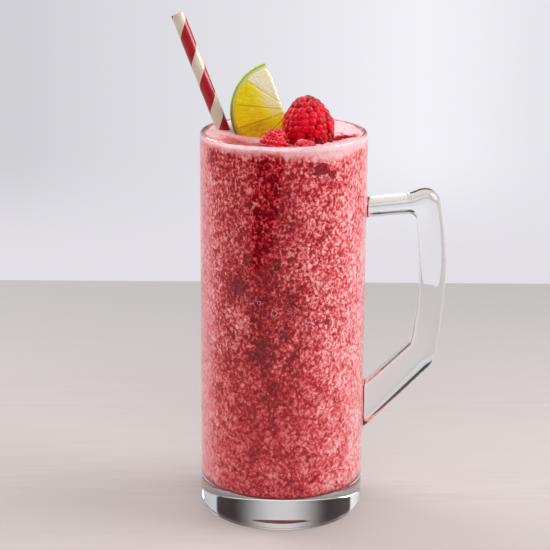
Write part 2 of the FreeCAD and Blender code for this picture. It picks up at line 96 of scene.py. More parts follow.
def add_node(tree, kind, inputs=(), **settings):
    """Adds a shader node, and gives its inputs their values or their links."""
    made = tree.nodes.new("ShaderNode" + kind)
    for name, value in settings.items():
        setattr(made, name, value)
    for name, value in dict(inputs).items():
        if isinstance(value, bpy.types.NodeSocket):
            tree.links.new(value, made.inputs[name])
        else:
            made.inputs[name].default_value = value
    return made


def maths(tree, operation, *values):
    """The result of a Math node; a value is a number or another node's output."""
    return add_node(tree, "Math", dict(enumerate(values)), operation=operation).outputs[0]


def mixed(tree, share, first, second):
    """Two colours mixed by a share."""
    return add_node(tree, "Mix", {0: share, 6: first, 7: second}, data_type="RGBA").outputs[2]


def spread(tree, value, low, high, to_low=0.0, to_high=1.0):
    """A value moved smoothly from one range to another, and kept inside it."""
    names = {"Value": value, "From Min": low, "From Max": high, "To Min": to_low, "To Max": to_high}
    return add_node(tree, "MapRange", names, interpolation_type="SMOOTHSTEP").outputs[0]


def raised(tree, surface, height, strength, depth):
    """Gives a surface a fine relief that isn't in its mesh; depth in millimetres."""
    bump = add_node(tree, "Bump", {"Height": height, "Strength": strength, "Distance": depth * MM})
    tree.links.new(bump.outputs[0], surface.inputs["Normal"])


def new_material(name, roughness, **values):
    """A material, its node tree and its Principled shader with plain values set."""
    material = bpy.data.materials.new(name)
    material.use_nodes = True
    tree = material.node_tree
    surface = tree.nodes["Principled BSDF"]
    surface.inputs["Roughness"].default_value = roughness
    for label, value in values.items():
        surface.inputs[label.replace("_", " ")].default_value = value
    return material, tree, surface


def object_point(tree):
    """Where a point of the surface lies, in the object's own coordinates."""
    return add_node(tree, "TexCoord").outputs["Object"]


def noise_at(tree, point, grain, detail=3.0, roughness=0.5, distortion=0.0):
    """Noise whose lumps are about grain millimetres across."""
    names = {"Vector": point, "Scale": 1 / (grain * MM), "Detail": detail, "Roughness": roughness,
             "Distortion": distortion}
    return add_node(tree, "TexNoise", names).outputs["Fac"]


def new_piece(name, shape, *materials, smooth=True):
    """Makes an object from a bmesh, which is then freed."""
    mesh = bpy.data.meshes.new(name)
    for face in shape.faces:
        face.smooth = smooth
    shape.to_mesh(mesh)
    shape.free()
    for material in materials:
        mesh.materials.append(material)
    piece = bpy.data.objects.new(name, mesh)
    bpy.context.scene.collection.objects.link(piece)
    return piece


def make_table_finish():
    """Wood under a thin pale wash, streaked along its grain and greyer towards the back."""
    material, tree, surface = new_material("lime_washed_wood", 0.55)
    point = object_point(tree)
    along = add_node(tree, "Mapping", {"Vector": point, "Scale": (0.08, 1.0, 1.0)}).outputs[0]
    streaks = noise_at(tree, along, 5.0, detail=5.0, roughness=0.6)
    cloud = noise_at(tree, along, 60.0, detail=2.0)
    back = spread(tree, add_node(tree, "SeparateXYZ", {0: point}).outputs["Y"], -0.1, 0.37)
    plank = mixed(tree, spread(tree, streaks, 0.35, 0.7), paint(187, 177, 173), paint(195, 187, 184))
    plank = mixed(tree, spread(tree, cloud, 0.35, 0.65), plank, paint(191, 182, 178))
    tone = mixed(tree, back, plank, paint(172, 168, 167))
    tree.links.new(tone, surface.inputs["Base Color"])
    raised(tree, surface, streaks, 0.15, 0.2)
    return material


def make_table():
    """The table top, whose far edge lies well behind the drink."""
    shape = bmesh.new()
    bmesh.ops.create_cube(shape, size=1.0)
    bmesh.ops.scale(shape, vec=Vector(TABLE_SIZE) * MM, verts=shape.verts)
    middle = Vector((0, TABLE_BACK - TABLE_SIZE[1] / 2, -TABLE_SIZE[2] / 2)) * MM
    bmesh.ops.translate(shape, vec=middle, verts=shape.verts)
    bmesh.ops.bevel(shape, geom=shape.edges[:], offset=2 * MM, segments=3, profile=0.5, affect="EDGES",
                    material=-1)
    table = new_piece("table", shape, make_table_finish(), smooth=False)


def softbox(name, place, target, size, power):
    """A lamp panel turned to its target; the lens never sees it, though glass mirrors it."""
    lamp = bpy.data.lights.new(name, "AREA")
    lamp.shape = "RECTANGLE"
    lamp.size, lamp.size_y = size[0] * MM, size[1] * MM
    lamp.energy = power
    panel = bpy.data.objects.new(name, lamp)
    panel.location = Vector(place) * MM
    panel.rotation_euler = (Vector(target) - Vector(place)).to_track_quat("-Z", "Y").to_euler()
    panel.visible_camera = False
    bpy.context.scene.collection.objects.link(panel)


def laid_over(tree, below, direction, start, full, colour):
    """A colour that comes in over what is below it as a direction passes from start to full."""
    return mixed(tree, spread(tree, direction, start, full), below, paint(*colour))


def make_room():
    """The pale wall that shows behind the drink and in its glass, with its painted pool of light, and the
    plain light of the room.
    """
    world = bpy.data.worlds.new("room")
    bpy.context.scene.world = world
    world.use_nodes = True
    tree = world.node_tree
    direction = add_node(tree, "TexCoord").outputs["Generated"]
    across, depth, rise = add_node(tree, "SeparateXYZ", {0: direction}).outputs
    # The wall's shades are painted light: brightest right of the middle, darker to the left, and evener
    # low down.
    ramp = add_node(tree, "ValToRGB", {"Fac": maths(tree, "MULTIPLY_ADD", across, WALL_SQUEEZE, 0.5)})
    stops = ramp.color_ramp.elements
    stops.remove(stops[1])
    for where, shade in WALL_PAINTED_LIGHT:
        stops.new(where * WALL_SQUEEZE + 0.5).color = paint(shade, shade - 1, shade + 5)
    stops.remove(stops[0])
    painted_low_wall = paint(WALL_LOW_PAINTED_LIGHT, WALL_LOW_PAINTED_LIGHT - 2, WALL_LOW_PAINTED_LIGHT + 4)
    wall = mixed(tree, spread(tree, rise, -0.265, -0.2), painted_low_wall, ramp.outputs[0])
    mirrored = laid_over(tree, paint(*DARK_SIDES), maths(tree, "ABSOLUTE", across), *PALE_MIDDLE)
    mirrored = laid_over(tree, mirrored, across, *RIGHT_PANE)
    mirrored = laid_over(tree, mirrored, across, *LEFT_PANE)
    mirrored = mixed(tree, spread(tree, rise, *TABLE_LINE), wall, mirrored)
    mirrored = laid_over(tree, mirrored, rise, *CEILING)
    mirrored = laid_over(tree, mirrored, depth, *BEHIND_LENS)
    path = add_node(tree, "LightPath")
    seen = maths(tree, "MAXIMUM", path.outputs["Is Glossy Ray"], path.outputs["Is Transmission Ray"])
    lit = mixed(tree, seen, paint(ROOM_LIGHT, ROOM_LIGHT - 1, ROOM_LIGHT + 1), mirrored)
    shown = mixed(tree, path.outputs["Is Camera Ray"], lit, wall)
    tree.links.new(shown, tree.nodes["Background"].inputs["Color"])


make_table()
make_room()
softbox("right_box", (660, 0, 560), (0, 0, 110), (520, 520), 5.3)
softbox("left_box", (-560, 330, 560), (0, 0, 110), (420, 420), 3.3)
softbox("front_box", (60, -760, 900), (0, 0, 130), (700, 420), 2.8)

# ---------------------------------------------------------------- glass mug
# A tall straight beer mug of pressed clear glass with a thick base and a D-shaped handle that is
# fused to the wall. The CAD shape is taken over whole, with its surfaces joined and smoothed.

GLASS_INDEX = 1.5
KNURLS = 72
# The ring of knurls under the base, from inside to outside, and how much of it fades at each edge.
KNURL_RING = (0.0265, 0.0315)
KNURL_FADE = 0.001
# How far the slush's solid stays off the wall and the floor of the glass.
CAD_GAP = 0.1


def make_clear_glass():
    """Clear glass, with a ring of fine pressed knurls under the base."""
    material, tree, surface = new_material("clear_glass", 0.0, IOR=GLASS_INDEX, Transmission_Weight=1.0)
    surface.inputs["Base Color"].default_value = (0.985, 0.992, 0.99, 1.0)
    x, y, z = add_node(tree, "SeparateXYZ", {0: object_point(tree)}).outputs
    flat = add_node(tree, "CombineXYZ", {0: x, 1: y})
    radius = add_node(tree, "VectorMath", {0: flat.outputs[0]}, operation="LENGTH").outputs["Value"]
    ribs = maths(tree, "SINE", maths(tree, "MULTIPLY", maths(tree, "ARCTAN2", y, x), KNURLS))
    start, end = KNURL_RING
    ring = maths(tree, "MULTIPLY", spread(tree, radius, start, start + KNURL_FADE),
                 spread(tree, radius, end, end - KNURL_FADE))
    ring = maths(tree, "MULTIPLY", ring, spread(tree, z, 0.0008, 0.0004))
    raised(tree, surface, maths(tree, "MULTIPLY", ribs, ring), 1.0, 0.2)
    path = add_node(tree, "LightPath")
    through = maths(tree, "MAXIMUM", path.outputs["Is Shadow Ray"], path.outputs["Is Diffuse Ray"])
    clear = add_node(tree, "BsdfTransparent", {"Color": (0.95, 0.96, 0.96, 1.0)})
    shown = add_node(tree, "MixShader", {0: through, 1: surface.outputs[0], 2: clear.outputs[0]})
    tree.links.new(shown.outputs[0], tree.nodes["Material Output"].inputs["Surface"])
    return material


def make_mug():
    """The CAD mug as one smooth skin, sharp only where the glass is."""
    shape = bmesh.new()
    shape.from_mesh(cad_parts["mug"].data)
    bmesh.ops.remove_doubles(shape, verts=shape.verts, dist=0.001 * MM)
    mug = new_piece("glass_mug", shape, make_clear_glass())
    mug.data.set_sharp_from_angle(angle=math.radians(32))
    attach(mug, "root")
    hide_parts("mug")


make_mug()
rim_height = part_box("mug")[1].z / MM
inner_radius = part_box("slush")[1].y / MM + CAD_GAP
floor_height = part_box("slush")[0].z / MM - CAD_GAP

# ---------------------------------------------------------------- slush
# Crushed ice and fruit, thick as snow. Pale grains of ice lie in dark juice all along the glass,
# with a band of froth under the rim and a spooned, lumpy top.

# How far the filling reaches into the wall, how far its grains stand out, how round its foot is,
# and where its top lies, a little under the rim.
SLUSH_BITE = 0.12
GRAIN_RELIEF = 0.12
FLOOR_CORNER = 5.5
fill_height = rim_height - 2.0
# The mesh's rings over the top, down the side and round the foot, and its steps round the glass.
TOP_RINGS = 84
SIDE_RINGS = 150
FOOT_RINGS = 10
TURN_STEPS = 330
# From dark juice to pale ice, with the froth's own colour and the brown by the lime, a stain with painted
# shadow and painted reflection of the lime.
SLUSH_TONES = (
    (0.0, (104, 0, 12)), (0.18, (140, 0, 18)), (0.36, (178, 12, 32)), (0.52, (208, 54, 64)),
    (0.68, (226, 106, 110)), (0.86, (236, 146, 148)), (1.0, (242, 190, 192)),
)
FROTH = (230, 192, 198)
STAIN_AND_SHADE = (160, 84, 68)
# The size of the lumps of each noise, in millimetres.
STROKE, FINE, CLOUD, CLUMP, TORN = 1.25, 0.45, 9.0, 3.2, 7.0
# How pale the ice is on the whole, how much each noise sways that, and how much each mark darkens it.
ICE_LEVEL = 0.48
FINE_SWAY, CLOUD_SWAY, CLUMP_SWAY = 0.36, 0.5, 0.72
JUICE_AND_SHADE_DARK, CRACK_DARK, PIT_DARK = 0.34, 0.34, 0.26
# The froth layer also carries painted light at the glass's edges and on its lit right side, the juice
# layer painted shade at the front and in the cleft, and the stain layer painted shadow and reflection by
# the lime.
TONE_LAYERS = ("froth_and_light", "juice_and_shade", "calm", "stain_and_shade")
# The swells that the spoon left: place as shares of the inner radius, height, and spread.
SWELLS = (
    ((0.50, 0.55), 1.5, 0.42),
    ((-0.40, -0.30), -2.3, 0.50),
    ((-0.70, 0.30), 0.3, 0.35),
    ((-0.48, -0.06), -1.3, 0.26),
    ((0.72, -0.22), -1.2, 0.20),
    ((0.88, 0.16), -1.0, 0.18),
    ((0.10, -0.92), -0.4, 0.30),
)
# The ridge before the lime and the wet cleft beside the large berry, which is painted dark with juice and
# with painted shade, from end to end, how high and how deep they are, and how far under the rim the top
# stays everywhere.
RIDGE = ((-28.0, 0.5), (-7.0, -9.0))
CREVICE = ((15.5, -9.5), (29.5, 2.6))
RIDGE_HEIGHT = 0.8
CREVICE_DEPTH = 1.9
LIP_DROP = 0.35
# The brown stain's middle line by the lime, a stain with painted shadow and painted reflection of the lime
# in it, the edge of the smooth film at the left of the glass, froth with painted haze of grazing light,
# and where the froth hangs lowest, as bearings.
STAIN_AND_SHADE_LINE = ((-22.0, -6.0), (-3.0, -17.0))
FILM_AND_HAZE_EDGE = -148
LOW_HANG = -50
# Patches along the glass, each a bearing, a height, a half width in degrees, a half height and how strong
# it is: where more juice has gathered, the large ones at the front also painted shade, and where froth has
# smeared, those at the left and right edges and on the lit right side also painted light.
JUICE_AND_SHADE_PATCHES = (
    (-99, 150, 11, 26, 0.6),
    (-104, 118, 13, 26, 0.7),
    (-124, 114, 9, 8, 0.9),
    (-112, 126, 7, 10, 0.6),
    (-86, 106, 9, 10, 0.5),
    (-106, 84, 12, 12, 0.8),
    (-92, 68, 10, 16, 0.4),
    (-110, 46, 10, 22, 0.3),
    (-58, 150, 9, 20, 0.25),
    (-40, 40, 5, 22, 0.3),
    (22, 110, 22, 40, 0.5),
    (64, 70, 18, 40, 0.5),
    (106, 130, 24, 40, 0.5),
    (150, 60, 20, 40, 0.5),
)
FROTH_AND_LIGHT_PATCHES = (
    (-172, 80, 27, 92, 0.62),
    (-12, 92, 38, 120, 0.5),
    (-48, 84, 13, 30, 0.26),
    (-122, 98, 8, 7, 0.4),
    (-70, 127, 9, 8, 0.22),
    (40, 150, 20, 30, 0.4),
    (84, 40, 20, 30, 0.35),
    (128, 120, 16, 50, 0.35),
)


def smoothstep(low, high, value):
    """A smooth step from 0 to 1 as a value passes from low to high."""
    share = min(max((value - low) / (high - low), 0.0), 1.0)
    return share * share * (3 - 2 * share)


def turbulence(point, grain, octaves=3):
    """Fractal noise from about -1 to 1, with lumps about grain millimetres across."""
    return noise.fractal(Vector(point) / grain, 1.0, 2.1, octaves)


def spooned_height(x, y):
    """The height of the slush's top over a point, without its grains."""
    height = fill_height
    for (share_x, share_y), swell, width in SWELLS:
        away = math.hypot(x / inner_radius - share_x, y / inner_radius - share_y) / width
        height += swell * math.exp(-away * away)
    ripple = math.sin(9 * x / inner_radius + 1) * math.cos(8 * y / inner_radius)
    return height + 0.15 * (ripple + math.sin(5 * (x + y) / inner_radius))


def beside_line(x, y, ends, width):
    """One on the line between two points of the top, fading to nothing a few widths beside it."""
    start, end = (Vector(point) for point in ends)
    along = end - start
    share = min(max((Vector((x, y)) - start).dot(along) / along.length_squared, 0.0), 1.0)
    away = (Vector((x, y)) - start - share * along).length / width
    return math.exp(-away * away)


def in_cleft(x, y, width):
    """How deep a place of the top lies in the cleft, whose sides wander."""
    sway = turbulence((x, y, 17.0), 4.0, 2)
    return beside_line(x + 1.6 * sway, y - 1.2 * sway, CREVICE, width * (1 + 0.5 * sway))


def top_height(x, y):
    """The top with its lumps, its grains and the lip that it leaves on the glass."""
    radius = math.hypot(x, y)
    rough = smoothstep(-18, 14, x + 0.5 * y)
    lumps = turbulence((x, y, 3.0), 5.0, 2)
    grains = turbulence((x, y, 40.0), 1.5, 3)
    lip = math.exp(-(inner_radius - radius) / 1.6) * (0.55 + 0.7 * turbulence((x, y, 80.0), 9.0, 2))
    height = spooned_height(x, y) + 0.35 * lumps + (0.1 + 0.3 * rough) * grains + max(lip, 0.0)
    height += RIDGE_HEIGHT * beside_line(x, y, RIDGE, 0.9) - CREVICE_DEPTH * in_cleft(x, y, 2.1)
    return min(height, rim_height - LIP_DROP)


def patch_at(patches, bearing, height, lump):
    """How strongly a place on the side lies in the patches, from 0 to 1, with ragged edges."""
    most = 0.0
    for middle, level, half_width, half_height, strength in patches:
        off = (bearing - middle + 180) % 360 - 180
        away = math.hypot(off / half_width, (height - level) / half_height) + 0.35 * lump
        most = max(most, strength * math.exp(-max(away, 0.0) ** 2.4))
    return most


def ramp_of(tree, level, *stops):
    """A colour ramp; each stop is a place from 0 to 1 and a colour as the eye sees it."""
    ramp = add_node(tree, "ValToRGB", {"Fac": level})
    made = ramp.color_ramp.elements
    made.remove(made[1])
    for place, colour in stops:
        made.new(place).color = paint(*colour)
    made.remove(made[0])
    return ramp.outputs[0]


def swayed(tree, level, cloud, amount):
    """A level moved up and down by a noise, evenly about where it was."""
    return maths(tree, "MULTIPLY_ADD", maths(tree, "SUBTRACT", cloud, 0.5), amount, level)


def written(tree, name):
    """A tone that the mesh carries on its points."""
    return add_node(tree, "Attribute", attribute_name=name).outputs["Fac"]


def height_of(tree, point):
    """How high a point lies."""
    return add_node(tree, "SeparateXYZ", {0: point}).outputs["Z"]


def scatter_under(surface, weight, radius, depth):
    """Lets light soak into a soft food; depth in millimetres."""
    surface.inputs["Subsurface Weight"].default_value = weight
    surface.inputs["Subsurface Radius"].default_value = radius
    surface.inputs["Subsurface Scale"].default_value = depth * MM


def make_slush_finish():
    """Grains of pale ice in red juice, cut by fine dark cracks and frosted over where froth lies; the
    froth layer also lays on painted light, the juice layer painted shade.
    """
    material, tree, surface = new_material("fruit_ice", 0.42, Specular_IOR_Level=0.05)
    point = object_point(tree)
    froth_and_light, juice_and_shade, calm, stain_and_shade = (written(tree, name) for name in TONE_LAYERS)
    slant = add_node(tree, "Mapping", {"Vector": point, "Rotation": (0.3, 0.6, 0.0),
                                       "Scale": (1.0, 1.0, 0.78)})
    strokes = noise_at(tree, slant.outputs[0], STROKE, detail=3.0, roughness=0.62, distortion=0.5)
    grains = spread(tree, strokes, 0.35, 0.65)
    fine = noise_at(tree, point, FINE, detail=2.0)
    cloud = noise_at(tree, point, CLOUD, detail=3.0, roughness=0.6)
    clump = noise_at(tree, point, CLUMP, detail=2.0, roughness=0.55, distortion=0.8)
    wander = add_node(tree, "TexNoise", {"Vector": point, "Scale": 260.0}).outputs["Color"]
    bent = add_node(tree, "VectorMath", {0: wander, 1: (0.0035, 0.0035, 0.0035), 2: point},
                    operation="MULTIPLY_ADD")
    lobes = add_node(tree, "TexVoronoi", {"Vector": bent.outputs[0], "Scale": 150.0},
                     feature="DISTANCE_TO_EDGE")
    crack = spread(tree, lobes.outputs["Distance"], 0.07, 0.0)
    torn = spread(tree, noise_at(tree, point, TORN), 0.44, 0.6)
    crack = maths(tree, "MULTIPLY", crack, torn)
    cell = add_node(tree, "TexVoronoi", {"Vector": point, "Scale": 400.0}, feature="F1")
    chosen = spread(tree, add_node(tree, "SeparateXYZ", {0: cell.outputs["Color"]}).outputs[0], 0.55, 0.6)
    pit = maths(tree, "MULTIPLY", spread(tree, cell.outputs["Distance"], 0.4, 0.18), chosen)
    level = swayed(tree, ICE_LEVEL, grains, spread(tree, calm, 0.0, 1.0, 0.62, 0.36))
    for lumps, sway in ((fine, FINE_SWAY), (cloud, CLOUD_SWAY), (clump, CLUMP_SWAY)):
        level = swayed(tree, level, lumps, sway)
    for mark, dark in ((juice_and_shade, JUICE_AND_SHADE_DARK), (crack, CRACK_DARK), (pit, PIT_DARK)):
        level = maths(tree, "MULTIPLY_ADD", mark, -dark, level)
    level = maths(tree, "MULTIPLY", level, spread(tree, froth_and_light, 0.0, 1.0, 1.0, 0.26))
    level = maths(tree, "MULTIPLY_ADD", froth_and_light, 0.92, level)
    tone = ramp_of(tree, level, *SLUSH_TONES)
    tone = mixed(tree, spread(tree, froth_and_light, 0.55, 1.0, 0.0, 0.6), tone, paint(*FROTH))
    tone = mixed(tree, stain_and_shade, tone, paint(*STAIN_AND_SHADE))
    tree.links.new(tone, surface.inputs["Base Color"])
    raised(tree, surface, level, 0.3, 0.3)
    scatter_under(surface, 0.15, (1.0, 0.3, 0.28), 1.2)
    surface.inputs["Sheen Weight"].default_value = 0.04
    surface.inputs["Sheen Roughness"].default_value = 0.4
    surface.inputs["Sheen Tint"].default_value = (1.0, 0.9, 0.96, 1.0)
    return material


def slush_profile(shape):
    """The half section as a chain of points: over the top, down the side and round to the middle."""
    edge = inner_radius + SLUSH_BITE
    corner = FLOOR_CORNER + SLUSH_BITE
    low = floor_height - SLUSH_BITE
    points = [(edge * (i / TOP_RINGS) ** 0.8, fill_height) for i in range(TOP_RINGS)]
    side = fill_height - low - corner
    points += [(edge, fill_height - side * i / SIDE_RINGS) for i in range(SIDE_RINGS)]
    for i in range(FOOT_RINGS + 1):
        angle = math.pi / 2 * i / FOOT_RINGS
        points.append((edge - corner + corner * math.cos(angle), low + corner - corner * math.sin(angle)))
    points.append((0.0, low))
    verts = [shape.verts.new(Vector((x, 0, z)) * MM) for x, z in points]
    return [shape.edges.new(pair) for pair in zip(verts, verts[1:])]


def spin_round(shape, chain, steps):
    """Spins a chain of points and edges about the upright axis, all the way round."""
    bmesh.ops.spin(shape, geom=chain, cent=(0, 0, 0), axis=(0, 0, 1), dvec=(0, 0, 0),
                   angle=2 * math.pi, steps=steps, use_merge=True, use_duplicate=False)
    bmesh.ops.remove_doubles(shape, verts=shape.verts, dist=0.002 * MM)
    bmesh.ops.recalc_face_normals(shape, faces=shape.faces)


def top_tones(x, y, lump):
    """Froth, juice, calm and stain on the top: smooth and mauve left, pale right, brown by the lime with
    painted shadow and reflection of it, and dark in the cleft with juice and painted shade.
    """
    right = smoothstep(-20, 22, x + 0.35 * y + 8 * lump)
    # The cleft is dark with juice and with painted shade in its depth.
    cleft_juice_and_shade = min(1.3 * in_cleft(x, y, 3.0), 1.0)
    # By the lime: a stain with painted shadow and painted reflection of the lime.
    stain_and_shade_by_lime = beside_line(x, y, STAIN_AND_SHADE_LINE, 7.0)
    froth_and_light = (0.9 + 0.08 * right) * (1 - cleft_juice_and_shade) * (1 - 0.6 * stain_and_shade_by_lime)
    return froth_and_light, 1.4 * cleft_juice_and_shade, 0.75, 0.8 * stain_and_shade_by_lime


def side_tones(bearing, height, lump):
    """The same along the glass: froth under the rim, then smears of froth and streaks of juice, with
    painted light on the lit right side and at the edges and painted shade at the front.
    """
    below = fill_height - height
    off = (bearing - LOW_HANG + 180) % 360 - 180
    hang = 1.6 + 3.2 * math.exp(-(off / 26) ** 2) + lump
    band = 1 - smoothstep(hang - 1.2, hang + 3.2, below)
    edge = FILM_AND_HAZE_EDGE - 10 * smoothstep(150, 176, height) + 5 * smoothstep(60, 20, height) + 5 * lump
    film_and_haze = smoothstep(edge + 2.5, edge - 2.5, bearing) * (1 - smoothstep(170, 110, abs(bearing)))
    foot = 1 - smoothstep(floor_height + 0.8, floor_height + 2.4, height)
    smear_and_light = patch_at(FROTH_AND_LIGHT_PATCHES, bearing, height, lump) * (1 - foot)
    streak_and_shade = patch_at(JUICE_AND_SHADE_PATCHES, bearing, height, lump) * (1 - band)
    froth_and_light = max(0.84 * band, smear_and_light, 0.62 * film_and_haze * (1 - foot))
    # Painted light: the side that faces the right lamp is calmer and paler, and the juice is fainter low
    # down.
    lit_salmon = smoothstep(-48, -22, bearing) * smoothstep(70, 30, bearing)
    calm = max(smoothstep(100, 40, height), band, 0.6 * film_and_haze, 0.4 * lit_salmon)
    lit_paler = smoothstep(-84, -58, bearing) * smoothstep(80, 40, bearing) + 0.5 * smoothstep(70, 30, height)
    return froth_and_light, max(streak_and_shade * (1 - film_and_haze), foot) - 0.32 * lit_paler * (1 - foot), calm, 0.0


def make_slush():
    """Spins the filling, spoons its top, roughens its side and writes its tones on every point."""
    shape = bmesh.new()
    chain = slush_profile(shape)
    spin_round(shape, shape.verts[:] + chain, TURN_STEPS)
    layers = [shape.verts.layers.float.new(name) for name in TONE_LAYERS]
    for vert in shape.verts:
        x, y, z = vert.co / MM
        radius = math.hypot(x, y)
        lump = turbulence((x, y, z), 6.0)
        if z > fill_height - 0.01:
            tones = top_tones(x, y, lump)
            vert.co.z = top_height(x, y) * MM
        else:
            tones = side_tones(math.degrees(math.atan2(y, x)), z, lump)
        for layer, tone in zip(layers, tones):
            vert[layer] = tone
        if radius > inner_radius - 0.5 and z > floor_height + FLOOR_CORNER:
            swell = max(turbulence((x, y, z), 2.4), 0.0) * GRAIN_RELIEF
            grown = 1 + swell / radius
            vert.co.x *= grown
            vert.co.y *= grown
    slush = new_piece("slush_filling", shape, make_slush_finish())
    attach(slush, "root")
    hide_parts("slush")


make_slush()

# ---------------------------------------------------------------- what floats in the slush
# Torn bits of berry, air bubbles and seeds lie pressed against the glass, and loose crumbs of ice
# lie on the top. The bits that show from the front are placed; the rest are strewn round the mug.

# Each bit of berry: bearing, height, half width and half height.
FRUIT_BITS = (
    (-62, 167.6, 3.6, 2.6), (-55, 164.8, 1.8, 1.3), (-68, 165.6, 1.2, 0.9), (-122, 113.0, 2.6, 2.6),
    (-86, 124.8, 1.0, 0.8), (-84, 128.3, 0.8, 0.9), (-95, 119.7, 0.9, 1.1), (-64, 127.9, 0.6, 0.5),
    (-42, 122.9, 0.5, 0.5), (-105, 85.5, 2.4, 1.9), (-78, 41.1, 0.9, 0.7), (-71, 33.9, 0.8, 0.7),
    (-102, 141.0, 1.3, 0.9), (-97, 148.5, 0.8, 1.6), (-57, 98.5, 1.3, 1.5), (-88, 94.0, 1.5, 2.0),
    (-66, 55.0, 0.5, 0.5), (-40, 104.0, 0.6, 0.6), (-127, 92.0, 0.5, 2.8), (-110, 57.0, 0.6, 4.2),
)
# Each bubble: bearing, height and radius.
BUBBLES = (
    (-96, 103.6, 1.4), (-107, 107.9, 0.9), (-116, 109.1, 0.6), (-113, 110.4, 0.5), (-110, 108.6, 0.5),
    (-109, 110.0, 0.45), (-85, 105.2, 0.7), (-83, 103.2, 0.8), (-81, 101.7, 0.6), (-86, 103.9, 0.4),
    (-80, 104.6, 0.45), (-75, 99.9, 0.6), (-73, 98.6, 0.5), (-71, 98.2, 0.7), (-69, 97.6, 0.4),
    (-51, 113.9, 0.6), (-66, 109.4, 0.5), (-100, 82.0, 0.7), (-48, 108.0, 0.6), (-66, 101.0, 0.35),
    (-58, 162.6, 0.5), (-54, 161.8, 0.4), (-61, 163.4, 0.4), (-158, 156.0, 0.8), (-119, 107.8, 0.5),
)
# Each seed: bearing and height.
SEEDS = ((-78, 132.7), (-115, 130.4), (-100, 66.0), (-142, 62.5), (-44, 62.8), (-40, 61.0), (-70, 158.0))
# How many more of each are strewn, how far they all reach into the wall so that they show, and how
# many places on the top are tried for a crumb.
STRAY_FRUIT = 46
STRAY_BUBBLES = 60
STRAY_SEEDS = 42
STAND = 0.42
CRUMBS = 420
CRUMB_TONES = ((0.0, (186, 60, 74)), (0.4, (232, 150, 158)), (1.0, (244, 218, 220)))


def hidden_bearing(chance):
    """A bearing anywhere but the front, which has its own placed bits."""
    return chance.uniform(-6, 186)


def add_ball(shape, fine):
    """The points of a ball of radius 1 that is added to a bmesh."""
    return bmesh.ops.create_icosphere(shape, subdivisions=fine, radius=1.0)["verts"]


def on_wall(bearing, height, across, out, up):
    """A point beside a place on the inside of the glass, in millimetres, wrapped round it."""
    turn = math.radians(bearing) + across / inner_radius
    radius = inner_radius + out
    return Vector((radius * math.cos(turn), radius * math.sin(turn), height + up)) * MM


def make_mottle():
    """A node group: two tones mixed by cloudy noise, with a fine grain that stands up as relief."""
    group = bpy.data.node_groups.new("mottle", "ShaderNodeTree")
    for name, kind in (("Point", "Vector"), ("Light", "Color"), ("Dark", "Color"), ("Cloud", "Float"),
                       ("Grain", "Float"), ("Relief", "Float")):
        group.interface.new_socket(name, in_out="INPUT", socket_type="NodeSocket" + kind)
    group.interface.new_socket("Color", in_out="OUTPUT", socket_type="NodeSocketColor")
    group.interface.new_socket("Normal", in_out="OUTPUT", socket_type="NodeSocketVector")
    given = group.nodes.new("NodeGroupInput").outputs
    result = group.nodes.new("NodeGroupOutput").inputs
    cloud = add_node(group, "TexNoise", {"Vector": given["Point"], "Scale": given["Cloud"], "Detail": 3.0})
    grain = add_node(group, "TexNoise", {"Vector": given["Point"], "Scale": given["Grain"], "Detail": 3.0})
    tone = mixed(group, spread(group, cloud.outputs["Fac"], 0.35, 0.65), given["Light"], given["Dark"])
    bump = add_node(group, "Bump", {"Height": grain.outputs["Fac"], "Strength": given["Relief"],
                                    "Distance": 0.0002})
    group.links.new(tone, result["Color"])
    group.links.new(bump.outputs[0], result["Normal"])
    return group


mottle = make_mottle()


def mottled(tree, surface, light, dark, cloud, grain, relief):
    """Gives a surface the mottle; cloud and grain are the sizes of its lumps in millimetres."""
    made = tree.nodes.new("ShaderNodeGroup")
    made.node_tree = mottle
    values = {"Light": paint(*light), "Dark": paint(*dark), "Cloud": 1 / (cloud * MM),
              "Grain": 1 / (grain * MM), "Relief": relief}
    for name, value in values.items():
        made.inputs[name].default_value = value
    tree.links.new(object_point(tree), made.inputs["Point"])
    tree.links.new(made.outputs["Color"], surface.inputs["Base Color"])
    tree.links.new(made.outputs["Normal"], surface.inputs["Normal"])
    return made.outputs["Color"]


def make_fruit_bits():
    """Torn bits of berry: lumpy pads, flat against the glass and round behind."""
    material, tree, surface = new_material("torn_berry", 0.22, Specular_IOR_Level=0.3)
    mottled(tree, surface, (168, 6, 28), (98, 0, 12), 1.6, 0.6, 0.3)
    scatter_under(surface, 0.2, (1.0, 0.15, 0.15), 1.0)
    chance = random.Random(5)
    bits = list(FRUIT_BITS)
    for _ in range(STRAY_FRUIT):
        half = chance.uniform(0.5, 2.4)
        bits.append((hidden_bearing(chance), chance.uniform(26, 166), half,
                     half * chance.uniform(0.6, 1.1)))
    shape = bmesh.new()
    for i, (bearing, height, half_width, half_height) in enumerate(bits):
        fine = 3 if half_width > 1.6 else 2
        for vert in add_ball(shape, fine):
            torn = noise.noise(vert.co * 1.3 + Vector((i, 0, 0)))
            lump = 1 + 0.34 * torn + 0.16 * noise.noise(vert.co * 3.1)
            knob = 0.07 * noise.noise(vert.co * 3.0 + Vector((0, i, 0)))
            out = (STAND + knob) * smoothstep(-0.1, 0.35, vert.co.y) + 1.2 * min(vert.co.y, 0.0)
            across = half_width * lump * vert.co.x
            vert.co = on_wall(bearing, height, across, out, half_height * lump * vert.co.z)
    bmesh.ops.recalc_face_normals(shape, faces=shape.faces)
    bits = new_piece("sunk_fruit", shape, material)
    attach(bits, "root")


